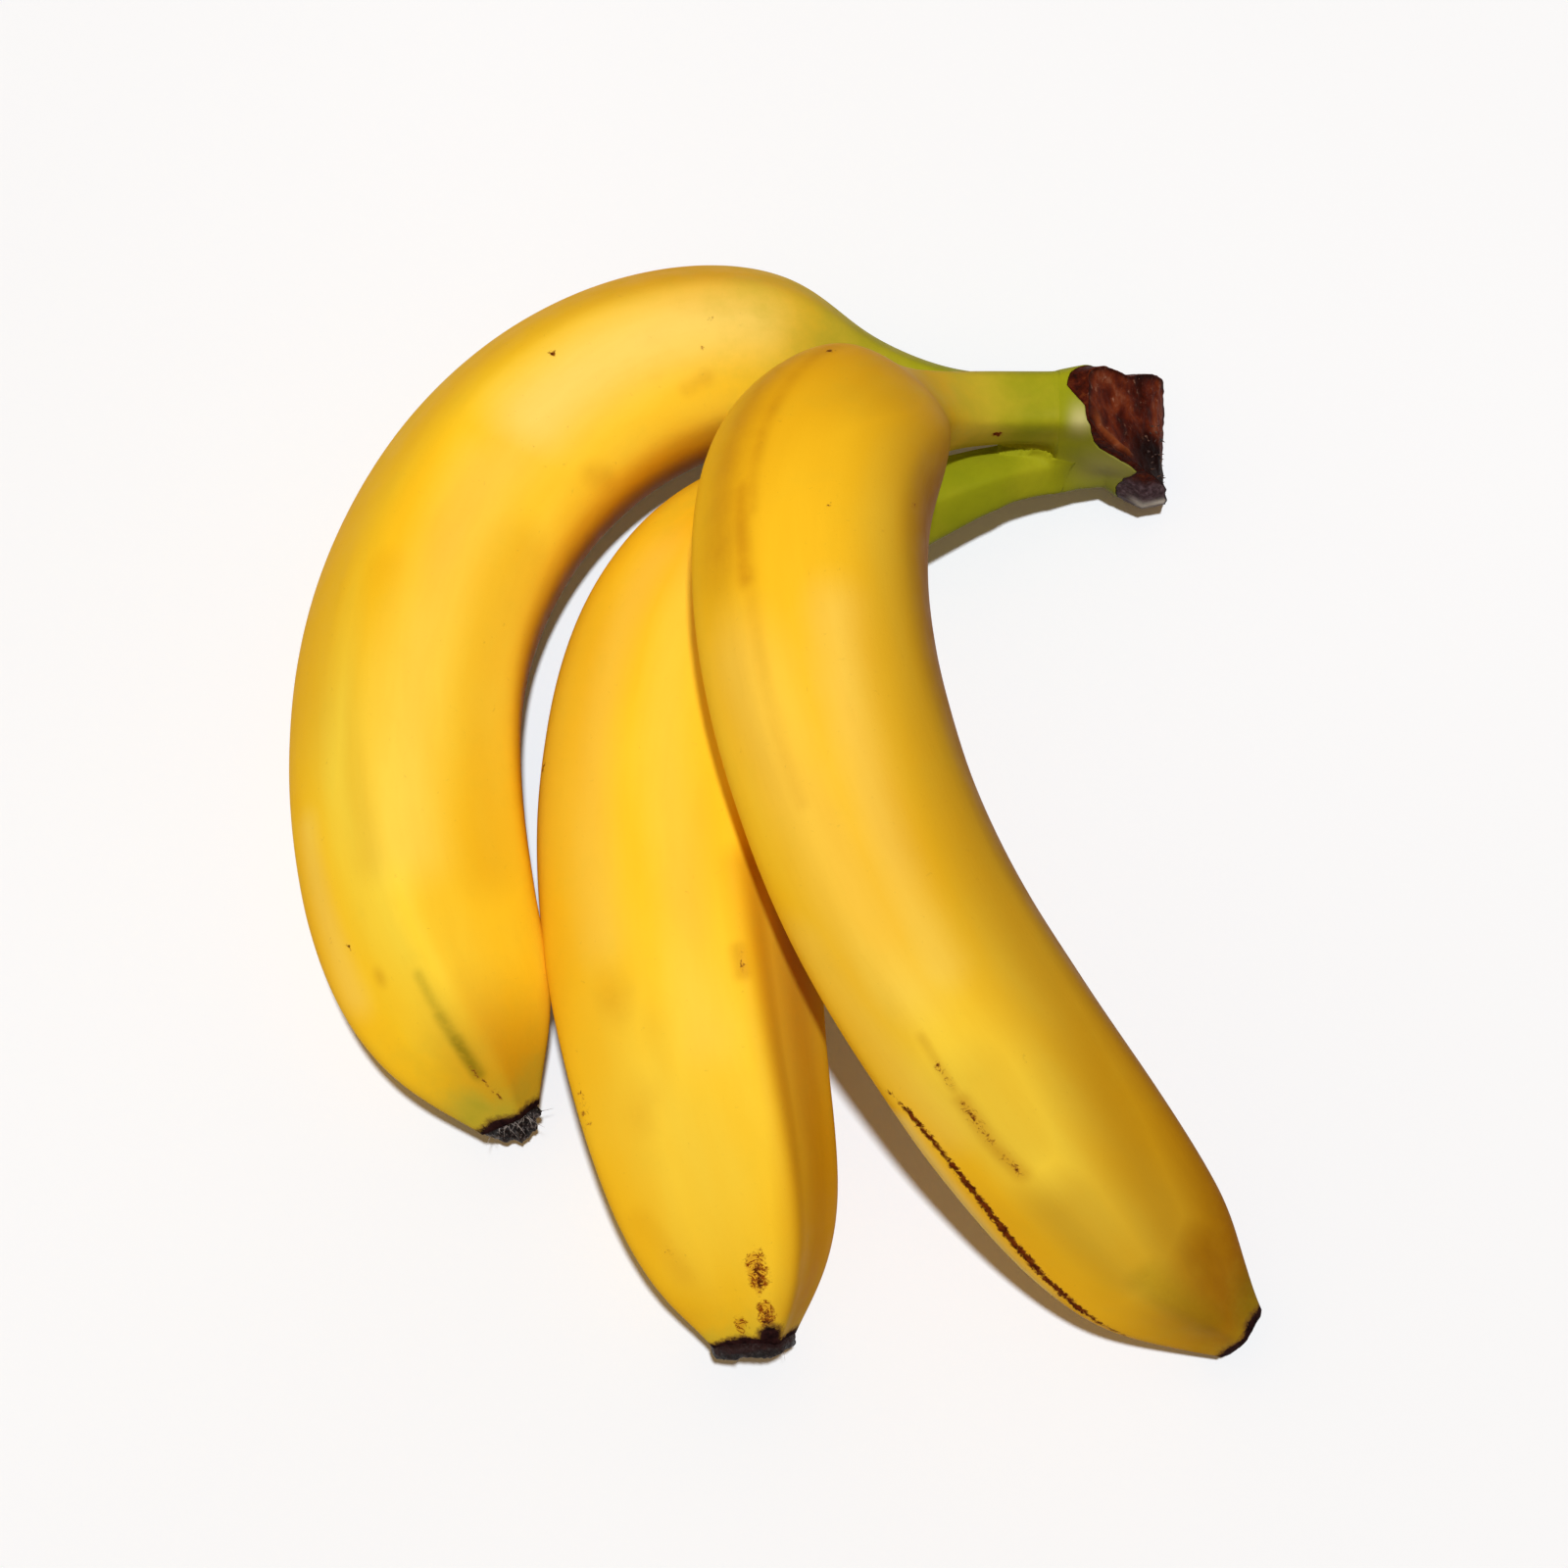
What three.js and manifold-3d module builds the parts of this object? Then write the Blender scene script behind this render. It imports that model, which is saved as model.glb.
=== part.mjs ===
// A bunch of three ripe bananas on one short piece of cut crown, lying on a flat surface.
// Millimetres, +Z up. The bunch is laid out in table coordinates, with the crown at +X,
// and is then shifted so that the origin is the middle of its footprint.
import * as THREE from 'three';
import { NURBSCurve } from 'three/addons/curves/NURBSCurve.js';
import { mergeVertices } from 'three/addons/utils/BufferGeometryUtils.js';
import Module from 'manifold-3d';

const wasm = await Module();
wasm.setup();

// ---- Driving dimensions, mm ------------------------------------------------------------

const STALK_END = 42;          // x of the plane where the three stalks stop
const JOINT_GAP = 0.3;         // clearance between one piece and the next
const TABLE_HEIGHT = 0.7;      // the fruit is pressed flat below this height, where it rests
const TABLE_BLOCK = 400;       // side of the block that stands in for the table
const STALK_BLOCK = 40;        // side of the blocks that trim the stalks and the crown

const FINGER_RINGS = 44;       // rings along a banana
const FINGER_SIDES = 36;       // sides around a banana
const CROWN_RINGS = 7;
const CROWN_SIDES = 72;
const BLOSSOM_RINGS = 6;
const BLOSSOM_SIDES = 24;

const RIDGE_KEENNESS = 7;      // how tightly a ridge of the peel is drawn together
const RIDGE_MEAN = 0.154;      // mean height around the section of one ridge that is 1 high
const WELD = 1e-4;             // points closer than this are one point
const HALVINGS = 24;           // steps that close in on a point of the crown's outline

// ---- The three bananas -----------------------------------------------------------------
// spine:   points that draw the centre line, from the crown to the tip (x, y, z)
// girth:   points that draw the mean radius (fraction of the length, radius)
// ridges:  where the five ridges of the peel stand around the section, in degrees from the
//          top, at a few fractions of the length
// relief:  how far the ridges stand out (fraction of the length, part of the radius)
// blossom: radius and thickness of the dried flower remains on the tip

const LEFT = {
  name: 'left',
  spine: [
    [45, 63.2, 13.2], [34, 63.2, 12.3], [24, 64, 12], [12, 68, 15], [-6, 71, 18], [-28, 64.5, 18],
    [-46, 47.5, 18], [-56.5, 23, 18], [-56.5, -3, 18], [-52, -25, 17.5], [-46, -40, 14.5],
    [-41, -49, 10.5],
  ],
  girth: [
    [0, 4.5], [0.05, 4.6], [0.11, 4.8], [0.18, 5.5], [0.225, 13], [0.31, 15.5], [0.43, 17.2],
    [0.55, 17.4], [0.69, 17.4], [0.81, 17.6], [0.91, 15.2], [0.96, 9.8], [0.99, 5.6], [1, 4.6],
  ],
  ridges: [
    [0, -55, 28, 95, 165, 232],
    [0.6, -55, 22, 92, 162, 230],
    [0.85, -60, 8, 84, 156, 226],
    [1, -72, -12, 66, 140, 214],
  ],
  relief: [[0, 0.22], [0.2, 0.12], [0.5, 0.12], [0.8, 0.16], [0.92, 0.25], [1, 0.3]],
  blossom: { radius: 3.7, thickness: 2.4 },
  skin: 0xe9b32e,
};

const MIDDLE = {
  name: 'middle',
  spine: [
    [45, 54.8, 9.2], [34, 52, 14], [23.5, 46.4, 14.6], [8, 43.5, 15], [-3.5, 36.5, 18], [-12, 21, 20.5],
    [-15.7, 0, 20.5], [-15.8, -20, 20.5], [-13.5, -40, 19.7], [-9, -60, 17.3], [-5.8, -73, 13.8],
    [-4.6, -81.9, 10.4],
  ],
  girth: [
    [0, 4.3], [0.06, 4.3], [0.14, 5.2], [0.21, 10], [0.31, 17.5], [0.43, 20.4], [0.56, 20.6],
    [0.69, 19.2], [0.8, 17.2], [0.89, 15.6], [0.955, 11.5], [0.985, 7.3], [1, 5.8],
  ],
  ridges: [
    [0, -20, 85, 150, 215, 275],
    [0.55, -22, 82, 150, 215, 275],
    [0.8, -29, 78, 148, 212, 272],
    [1, -32, 68, 140, 205, 265],
  ],
  relief: [[0, 0.22], [0.2, 0.12], [0.5, 0.12], [0.8, 0.2], [0.92, 0.3], [1, 0.35]],
  blossom: { radius: 5.5, thickness: 2 },
  skin: 0xf0bb33,
};

const RIGHT = {
  name: 'right',
  spine: [
    [45, 58.9, 22.3], [33, 58.9, 22.6], [25, 57.3, 25.8], [18.4, 52.9, 34.4], [11.4, 46.1, 44], [6.2, 37.6, 51],
    [4.3, 27, 54.5], [4.8, 12.5, 55], [8.6, -5, 51.5], [16.4, -23.8, 44.3], [30, -42.8, 33],
    [44, -59, 20.6], [55.8, -71.6, 11.1], [67.4, -79.9, 5.5],
  ],
  girth: [
    [0, 5.1], [0.06, 5.1], [0.12, 5.6], [0.17, 8], [0.21, 14.5], [0.27, 17.2], [0.37, 17.1], [0.51, 17.1],
    [0.67, 17.2], [0.8, 17], [0.9, 14.4], [0.95, 9.8], [0.985, 6], [1, 4.6],
  ],
  ridges: [
    [0, -42, 45, 80, 150, 235],
    [0.25, -42, 42, 78, 150, 235],
    [0.5, -42, 33, 72, 150, 235],
    [0.75, -46, 27, 78, 152, 232],
    [1, -50, 20, 80, 155, 230],
  ],
  relief: [[0, 0.22], [0.2, 0.1], [0.5, 0.1], [0.8, 0.12], [0.92, 0.25], [1, 0.3]],
  blossom: { radius: 4, thickness: 0.9 },
  skin: 0xdfa828,
};

const FINGERS = [LEFT, MIDDLE, RIGHT];

// ---- The crown -------------------------------------------------------------------------
// Three stalk stumps, grown together by a web of tissue between them. Each has the middle of
// its section (y, z) and its radius where it meets the stalks, and the same where the uncut
// crown would have run on to.

const CROWN = {
  start: [STALK_END + JOINT_GAP, 57.8, 14.8],
  end: [62, 57.8, 14.8],
  stumps: {
    right: { from: [58.9, 22.4, 5.4], to: [58.8, 23.4, 6.6] },
    left: { from: [63.2, 13, 4.7], to: [61.8, 12.4, 6] },
    middle: { from: [54.6, 10, 4.4], to: [55, 6.4, 6.2] },
    web: { from: [58, 15, 2.8], to: [56.5, 16, 5.2] },
  },
  blend: 0.45,             // how sharply the stumps keep apart, per mm: lower fills the grooves
  cutTop: [46.1, 28],      // x and z of the upper edge of the slanting knife cut
  cutCorner: [57.8, 14],   // x and z of the corner where the torn end face starts below it
  cutBottom: [60, 0],      // x and z of the lower edge of that end face
};

// ---- Helpers ---------------------------------------------------------------------------

// A smooth cubic curve drawn by a short list of points, starting and ending on the list.
function smoothCurve(points) {
  const degree = 3;
  const spans = points.length - degree;
  const knots = new Array(degree).fill(0);
  for (let span = 0; span <= spans; span += 1) {
    knots.push(span);
  }
  knots.push(...new Array(degree).fill(spans));
  const controls = points.map(([x, y, z = 0]) => new THREE.Vector4(x, y, z, 1));
  return new NURBSCurve(degree, knots, controls);
}

// Straight-line values between stops of the form [position, value, value, ...].
function valuesAt(stops, position) {
  const next = Math.max(1, stops.findIndex(([at]) => at >= position));
  const [startAt, ...start] = stops[next - 1];
  const [endAt, ...end] = stops[next];
  const mix = (position - startAt) / (endAt - startAt);
  return start.map((value, index) => THREE.MathUtils.lerp(value, end[index], mix));
}

// Where a ray from (y, z) leaves the rounded outline of several overlapping circles. The ray's
// angle is measured from the top, and each circle is a middle (y, z) and a radius.
function reachOfCircles(circles, blend, [y, z], angle) {
  let inside = 0;
  let outside = STALK_BLOCK;
  for (let step = 0; step < HALVINGS; step += 1) {
    const reach = (inside + outside) / 2;
    const atY = y - reach * Math.sin(angle);
    const atZ = z + reach * Math.cos(angle);
    const filled = circles.reduce((sum, [middleY, middleZ, radius]) => {
      return sum + Math.exp(blend * (radius - Math.hypot(atY - middleY, atZ - middleZ)));
    }, 0);
    if (filled > 1) {
      inside = reach;
    } else {
      outside = reach;
    }
  }
  return inside;
}

// One soft ridge, 1 high at its crest.
function ridge(angle, crest) {
  return Math.exp(RIDGE_KEENNESS * (Math.cos(angle - crest) - 1));
}

// Bends a body that was turned about +Y so that its axis lies along the spine. Its own +Z
// turns to the top of the section and +X to the side. scaleAt(fraction, angle) reshapes the
// round section, with the angle measured from the top.
function bendAlong(geometry, spine, length, scaleAt) {
  const points = geometry.getAttribute('position');
  const up = new THREE.Vector3(0, 0, 1);
  const side = new THREE.Vector3();
  const top = new THREE.Vector3();
  for (let index = 0; index < points.count; index += 1) {
    const across = points.getX(index);
    const fraction = THREE.MathUtils.clamp(points.getY(index) / length, 0, 1);
    const upward = points.getZ(index);
    const centre = spine.getPointAt(fraction);
    const forward = spine.getTangentAt(fraction);
    side.crossVectors(forward, up).normalize();
    top.crossVectors(side, forward);
    const scale = scaleAt(fraction, Math.atan2(across, upward));
    centre.addScaledVector(side, across * scale);
    centre.addScaledVector(top, upward * scale);
    points.setXYZ(index, centre.x, centre.y, centre.z);
  }
  return geometry;
}

// A solid turned about +Y from radii given at fractions of the length, closed at both ends.
function turnedBody(radii, length, sides) {
  const profile = radii.map(([fraction, radius]) => new THREE.Vector2(radius, fraction * length));
  profile.unshift(new THREE.Vector2(0, profile[0].y));
  profile.push(new THREE.Vector2(0, profile.at(-1).y));
  return new THREE.LatheGeometry(profile, sides);
}

// The geometry as a watertight solid: its seams are welded and its collapsed faces dropped.
function toSolid(geometry) {
  geometry.deleteAttribute('normal');
  geometry.deleteAttribute('uv');
  const welded = mergeVertices(geometry, WELD);
  const corners = welded.getIndex().array;
  const faces = [];
  for (let index = 0; index < corners.length; index += 3) {
    const [a, b, c] = corners.subarray(index, index + 3);
    if (a !== b && b !== c && c !== a) {
      faces.push(a, b, c);
    }
  }
  const mesh = new wasm.Mesh({
    numProp: 3,
    vertProperties: new Float32Array(welded.getAttribute('position').array),
    triVerts: new Uint32Array(faces),
  });
  return new wasm.Manifold(mesh);
}

// A watertight solid as a three.js geometry.
function toGeometry(solid) {
  const mesh = solid.getMesh();
  const geometry = new THREE.BufferGeometry();
  geometry.setAttribute('position', new THREE.BufferAttribute(mesh.vertProperties, 3));
  geometry.setIndex(new THREE.BufferAttribute(mesh.triVerts, 1));
  geometry.computeVertexNormals();
  return geometry;
}

// A block that lies beyond a point in the direction of the normal, with the point in the
// middle of its nearest face.
function blockBeyond(point, normal, size) {
  const block = new THREE.BoxGeometry(size, size, size);
  block.translate(0, 0, size / 2);
  const turn = new THREE.Quaternion().setFromUnitVectors(new THREE.Vector3(0, 0, 1), normal);
  block.applyQuaternion(turn);
  block.translate(point.x, point.y, point.z);
  return toSolid(block);
}

// The table, as the block that flattens what rests on it.
function tableBlock() {
  const surface = new THREE.Vector3(0, 0, TABLE_HEIGHT);
  return blockBeyond(surface, new THREE.Vector3(0, 0, -1), TABLE_BLOCK);
}

function peelMaterial(color) {
  return new THREE.MeshStandardMaterial({ color, roughness: 0.42, metalness: 0 });
}

function namedMesh(name, solid, material) {
  const mesh = new THREE.Mesh(toGeometry(solid), material);
  mesh.name = name;
  return mesh;
}

// ---- Sub-parts -------------------------------------------------------------------------

// One banana with its stalk: a soft five-ridged section carried along a curved centre line.
function banana(finger) {
  const spine = smoothCurve(finger.spine);
  const length = spine.getLength();
  const girth = smoothCurve(finger.girth);
  const radii = [];
  for (let ring = 0; ring < FINGER_RINGS; ring += 1) {
    const point = girth.getPoint(ring / (FINGER_RINGS - 1));
    radii.push([point.x, point.y]);
  }
  const peel = bendAlong(turnedBody(radii, length, FINGER_SIDES), spine, length, (fraction, angle) => {
    const crests = valuesAt(finger.ridges, fraction).map(THREE.MathUtils.degToRad);
    const [relief] = valuesAt(finger.relief, fraction);
    const raised = crests.reduce((sum, crest) => sum + ridge(angle, crest), 0);
    return (1 + relief * raised) / (1 + relief * crests.length * RIDGE_MEAN);
  });
  const stalkEnd = spine.getPointAt(0).setX(STALK_END);
  const solid = toSolid(peel)
    .subtract(blockBeyond(stalkEnd, new THREE.Vector3(1, 0, 0), STALK_BLOCK))
    .subtract(tableBlock());
  return namedMesh(`banana_${finger.name}`, solid, peelMaterial(finger.skin));
}

// The dried flower remains: a low, dark, slightly five-cornered pad on the tip, with a
// sunken middle.
function blossomEnd(finger) {
  const { radius, thickness } = finger.blossom;
  const spine = smoothCurve(finger.spine);
  const forward = spine.getTangentAt(1);
  const start = spine.getPointAt(1).addScaledVector(forward, JOINT_GAP);
  const axis = new THREE.LineCurve3(start, start.clone().addScaledVector(forward, thickness));
  const radii = [];
  for (let ring = 0; ring < BLOSSOM_RINGS; ring += 1) {
    const fraction = ring / (BLOSSOM_RINGS - 1);
    radii.push([fraction, radius * (1 - 0.35 * fraction ** 3)]);
  }
  radii.push([0.72, radius * 0.36]);
  const corners = valuesAt(finger.ridges, 1).map(THREE.MathUtils.degToRad);
  const pad = bendAlong(turnedBody(radii, thickness, BLOSSOM_SIDES), axis, thickness, (fraction, angle) => {
    const raised = corners.reduce((sum, corner) => sum + ridge(angle, corner), 0);
    return 0.88 + 0.16 * raised;
  });
  const dead = new THREE.MeshStandardMaterial({ color: 0x2b1a12, roughness: 0.9, metalness: 0 });
  return namedMesh(`blossom_end_${finger.name}`, toSolid(pad).subtract(tableBlock()), dead);
}

// A block that takes away all that lies beyond the plane through two points (x, z) of the cut.
function beyondCut([topX, topZ], [bottomX, bottomZ]) {
  const outward = new THREE.Vector3(topZ - bottomZ, 0, bottomX - topX).normalize();
  const between = new THREE.Vector3((topX + bottomX) / 2, CROWN.start[1], (topZ + bottomZ) / 2);
  return blockBeyond(between, outward, STALK_BLOCK);
}

// The crown: three fused stalk stumps that widen a little and end in a slanting knife cut,
// with a steeper torn face below it.
function crown() {
  const start = new THREE.Vector3(...CROWN.start);
  const end = new THREE.Vector3(...CROWN.end);
  const spine = new THREE.LineCurve3(start, end);
  const length = spine.getLength();
  const radii = [];
  for (let ring = 0; ring < CROWN_RINGS; ring += 1) {
    radii.push([ring / (CROWN_RINGS - 1), 1]);
  }
  const stumps = bendAlong(turnedBody(radii, length, CROWN_SIDES), spine, length, (fraction, angle) => {
    const circles = Object.values(CROWN.stumps).map(({ from, to }) => {
      return from.map((value, index) => THREE.MathUtils.lerp(value, to[index], fraction));
    });
    return reachOfCircles(circles, CROWN.blend, [start.y, start.z], angle);
  });
  const solid = toSolid(stumps)
    .subtract(beyondCut(CROWN.cutTop, CROWN.cutCorner))
    .subtract(beyondCut(CROWN.cutCorner, CROWN.cutBottom))
    .subtract(blockBeyond(start, new THREE.Vector3(-1, 0, 0), STALK_BLOCK))
    .subtract(tableBlock());
  const skin = new THREE.MeshStandardMaterial({ color: 0x7d5a26, roughness: 0.75, metalness: 0 });
  return namedMesh('crown', solid, skin);
}

// ---- The bunch -------------------------------------------------------------------------

const bunch = new THREE.Group();
bunch.add(crown());
for (const finger of FINGERS) {
  bunch.add(banana(finger), blossomEnd(finger));
}

// The origin is the middle of the footprint, on the table.
const extent = new THREE.Box3().setFromObject(bunch);
const middle = extent.getCenter(new THREE.Vector3());
bunch.position.set(-middle.x, -middle.y, -extent.min.z);

const part = new THREE.Group();
part.add(bunch);

export default part;
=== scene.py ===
"""Looks of a cut bunch of three ripe bananas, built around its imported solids.

The shapes are laid out in millimetres on the table that the bunch lies on, with the crown
towards +X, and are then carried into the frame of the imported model, in metres.
"""

import logging
from dataclasses import dataclass, replace
from enum import Enum
from itertools import product

import bpy
import numpy as np
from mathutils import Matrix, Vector


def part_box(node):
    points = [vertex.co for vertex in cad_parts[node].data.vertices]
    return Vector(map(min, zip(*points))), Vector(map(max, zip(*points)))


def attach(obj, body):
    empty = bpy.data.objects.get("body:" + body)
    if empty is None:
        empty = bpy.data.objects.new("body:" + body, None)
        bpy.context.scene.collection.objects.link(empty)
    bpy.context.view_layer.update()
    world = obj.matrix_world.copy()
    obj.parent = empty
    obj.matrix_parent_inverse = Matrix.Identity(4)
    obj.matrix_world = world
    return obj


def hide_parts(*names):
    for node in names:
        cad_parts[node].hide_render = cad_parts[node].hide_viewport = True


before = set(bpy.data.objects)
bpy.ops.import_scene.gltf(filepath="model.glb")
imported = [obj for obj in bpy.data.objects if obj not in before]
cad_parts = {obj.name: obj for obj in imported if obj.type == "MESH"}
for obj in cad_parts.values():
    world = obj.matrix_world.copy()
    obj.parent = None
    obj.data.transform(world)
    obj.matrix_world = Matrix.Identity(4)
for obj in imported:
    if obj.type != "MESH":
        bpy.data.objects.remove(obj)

Array = np.ndarray
Stops = tuple[tuple[float, ...], ...]
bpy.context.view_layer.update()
LOG = logging.getLogger("bunch")

MM = 0.001
UP = np.array([0.0, 0.0, 1.0])
TABLE_HEIGHT = 0.7       # the fruit is pressed flat below this height, where it rests
STALK_END = 42.0         # x of the plane where the solid stalks stop
LOOKED_AT = np.array([0.0, 0.0, 20.0])  # the point of the table frame that the camera looks at
RIDGE_KEENNESS = 7.0     # how tightly a soft ridge of the peel is drawn together
RIDGE_MEAN = 0.154       # mean height around the section of one soft ridge that is 1 high
CREST_KEENNESS = 55.0    # the same for the fine crest that runs along a ridge
CORNER_POWER = 13.0      # how sharply the flat faces of the peel meet
FACED_MEAN = 0.885       # mean radius of a five-cornered section whose corners are 1 out
SPINE_SAMPLES = 1200     # points that a drawn curve is sampled at
SEARCH = (400, 180)      # rings and sides of a plain banana that is only measured
HALVINGS = 26            # steps that close in on a point of the crown's outline
CUT_ROUNDS = 5           # rounds that bring the end of the crown's skin onto the cut
CUT_NORMAL = np.array([28.0, 0, 15.3]) / np.hypot(28, 15.3)  # direction that the knife cut faces


class Stump(Enum):
    """The three stalks that the crown joins."""

    LEFT = "left"
    MIDDLE = "middle"
    RIGHT = "right"


class Slot(Enum):
    """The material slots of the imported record."""

    PEEL = "peel"
    CROWN = "crown"
    FLOWER = "dried_flower"


# ---- Curves, noise and meshes ----------------------------------------------------------


def smooth_curve(points: Array, count: int) -> Array:
    """A clamped cubic B-spline drawn by its points: each point of the curve is a mix of four
    neighbouring points, and the curve starts and ends on the list.

    Args:
        points: the points that draw it, one a row.
        count: how many points of the curve to return, evenly spaced in its parameter.

    Returns:
        The points of the curve, one a row.
    """
    degree = 3
    spans = len(points) - degree
    knots = np.concatenate([np.zeros(degree), np.arange(spans + 1), np.full(degree, spans)])
    at = np.linspace(0, spans - 1e-9, count)[:, None]
    basis = ((knots[:-1] <= at) & (at < knots[1:])).astype(float)
    for order in range(1, degree + 1):
        before = knots[order:-1] - knots[:-order - 1]
        after = knots[order + 1:] - knots[1:-order]
        rising, falling = np.zeros((2, count, basis.shape[1] - 1))
        np.divide(at - knots[:-order - 1], before, where=before > 0, out=rising)
        np.divide(knots[order + 1:] - at, after, where=after > 0, out=falling)
        basis = rising * basis[:, :-1] + falling * basis[:, 1:]
    return basis @ np.asarray(points, float)


def values_at(stops: Stops, position: Array) -> Array:
    """Straight-line values between stops of the form (position, value, value, ...).

    Args:
        stops: the stops, in order of position.
        position: where the values are wanted, of any shape.

    Returns:
        The values, in a last axis of their own when the stops hold more than one.
    """
    table = np.array(stops, float)
    columns = [np.interp(position, table[:, 0], table[:, k]) for k in range(1, table.shape[1])]
    return columns[0] if len(columns) == 1 else np.stack(columns, -1)


def smooth_step(value: Array, low: float, high: float) -> Array:
    """0 below low, 1 above high, and 3t^2 - 2t^3 of the way between."""
    part = np.clip((value - low) / (high - low), 0, 1)
    return part * part * (3 - 2 * part)


def in_degrees(angle: Array) -> Array:
    """The angle in degrees, between -180 and 180."""
    return (np.degrees(angle) + 180) % 360 - 180


def outwards(side: Array, top: Array, angle: Array) -> Array:
    """The direction at an angle from the top towards the side: side sin(angle) + top cos(angle)."""
    return side * np.sin(angle)[..., None] + top * np.cos(angle)[..., None]


def bell(place: Array, middle: tuple[float, ...], size: tuple[float, ...]) -> Array:
    """A bell around one point: exp(-r^2), with r the distance in parts of the size."""
    gap = np.linalg.norm((place - np.array(middle)) / np.array(size), axis=-1)
    return np.exp(-(gap**2))


def lumps(points: Array, size: float, seed: int, octaves: int = 1) -> Array:
    """Smooth random heights between about -1 and 1: every corner of a lattice of cells holds a
    random value, and a point mixes the eight corners of its cell by 3t^2 - 2t^3 along each axis.

    Args:
        points: where the heights are wanted, xyz in the last axis.
        size: width of a cell, in the units of the points.
        seed: which set of random values to use.
        octaves: how many layers to add up, each half as wide and half as high as the last.

    Returns:
        One height for each point.
    """
    values = np.random.default_rng(seed).uniform(-1, 1, 4096)
    total = np.zeros(points.shape[:-1])
    for octave in range(octaves):
        cells = points * 2.0**octave / size + 17.3 * octave
        corner = np.floor(cells).astype(np.int64)
        part = cells - corner
        part = part * part * (3 - 2 * part)
        for offset in product((0, 1), repeat=3):
            index = (corner + offset) @ np.array([73856093, 19349663, 83492791])
            weight = np.prod(np.where(offset, part, 1 - part), axis=-1)
            total += weight * values[index % len(values)] / 2.0**octave
    return total


@dataclass
class Surface:
    """A closed surface of rings, with a pole in the middle of the first and of the last.

    The rings follow one another in the direction forward, and the sides turn so that
    side x forward points outwards.

    Attributes:
        name: the name of its object.
        points: [ring, side, xyz] in mm.
        values: what each point stores, under a title.
    """

    name: str
    points: Array
    values: dict[str, Array]

    def build(self, shift: Array) -> bpy.types.Object:
        """Makes the mesh object, with one attribute for each named set of values.

        Args:
            shift: what to add to table millimetres to reach the frame, in mm.

        Returns:
            The new object, at the origin, with its place in its mesh.
        """
        rings, sides = self.points.shape[:2]
        poles = [self.points[0].mean(0), self.points[-1].mean(0)]
        places = np.concatenate([self.points.reshape(-1, 3), np.array(poles)])
        index = np.arange(rings * sides).reshape(rings, sides)
        turned = np.roll(index, -1, axis=1)
        quads = np.stack([index[:-1], turned[:-1], turned[1:], index[1:]], -1).reshape(-1, 4)
        first = np.stack([np.full(sides, rings * sides), turned[0], index[0]], -1)
        last = np.stack([np.full(sides, rings * sides + 1), index[-1], turned[-1]], -1)
        fans = np.concatenate([first, last])
        mesh = make_mesh(self.name, (places + shift) * MM, [quads, fans])
        for title, value in self.values.items():
            rows = value.reshape(rings, sides, -1)
            ends = np.stack([rows[0].mean(0), rows[-1].mean(0)])
            add_values(mesh, title, np.concatenate([rows.reshape(rings * sides, -1), ends]))
        return add_object(self.name, mesh)


def make_mesh(name: str, places: Array, groups: list[Array]) -> bpy.types.Mesh:
    """Puts whole arrays of points and faces into a smooth-shaded mesh.

    Args:
        name: the mesh's name.
        places: the points, one a row, in metres.
        groups: arrays of faces, each with one number of corners.

    Returns:
        The mesh.
    """
    mesh = bpy.data.meshes.new(name)
    corners = np.concatenate([g.ravel() for g in groups]).astype(np.int32)
    sizes = np.concatenate([np.full(len(g), g.shape[1]) for g in groups])
    starts = np.concatenate([[0], np.cumsum(sizes)[:-1]]).astype(np.int32)
    mesh.vertices.add(len(places))
    mesh.vertices.foreach_set("co", places.astype(np.float32).ravel())
    mesh.loops.add(len(corners))
    mesh.loops.foreach_set("vertex_index", corners)
    mesh.polygons.add(len(sizes))
    mesh.polygons.foreach_set("loop_start", starts)
    mesh.update(calc_edges=True)
    mesh.polygons.foreach_set("use_smooth", np.ones(len(sizes), bool))
    return mesh


def add_values(mesh: bpy.types.Mesh, title: str, value: Array) -> None:
    """Stores one number, or one vector, for each point of the mesh under the title."""
    kind, field = ("FLOAT_VECTOR", "vector") if value.shape[-1] == 3 else ("FLOAT", "value")
    mesh.attributes.new(title, kind, "POINT").data.foreach_set(field, value.astype(np.float32).ravel())


def add_object(name: str, mesh: bpy.types.Mesh) -> bpy.types.Object:
    """Links an object that shows the mesh, at the origin."""
    piece = bpy.data.objects.new(name, mesh)
    bpy.context.scene.collection.objects.link(piece)
    return piece


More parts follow.
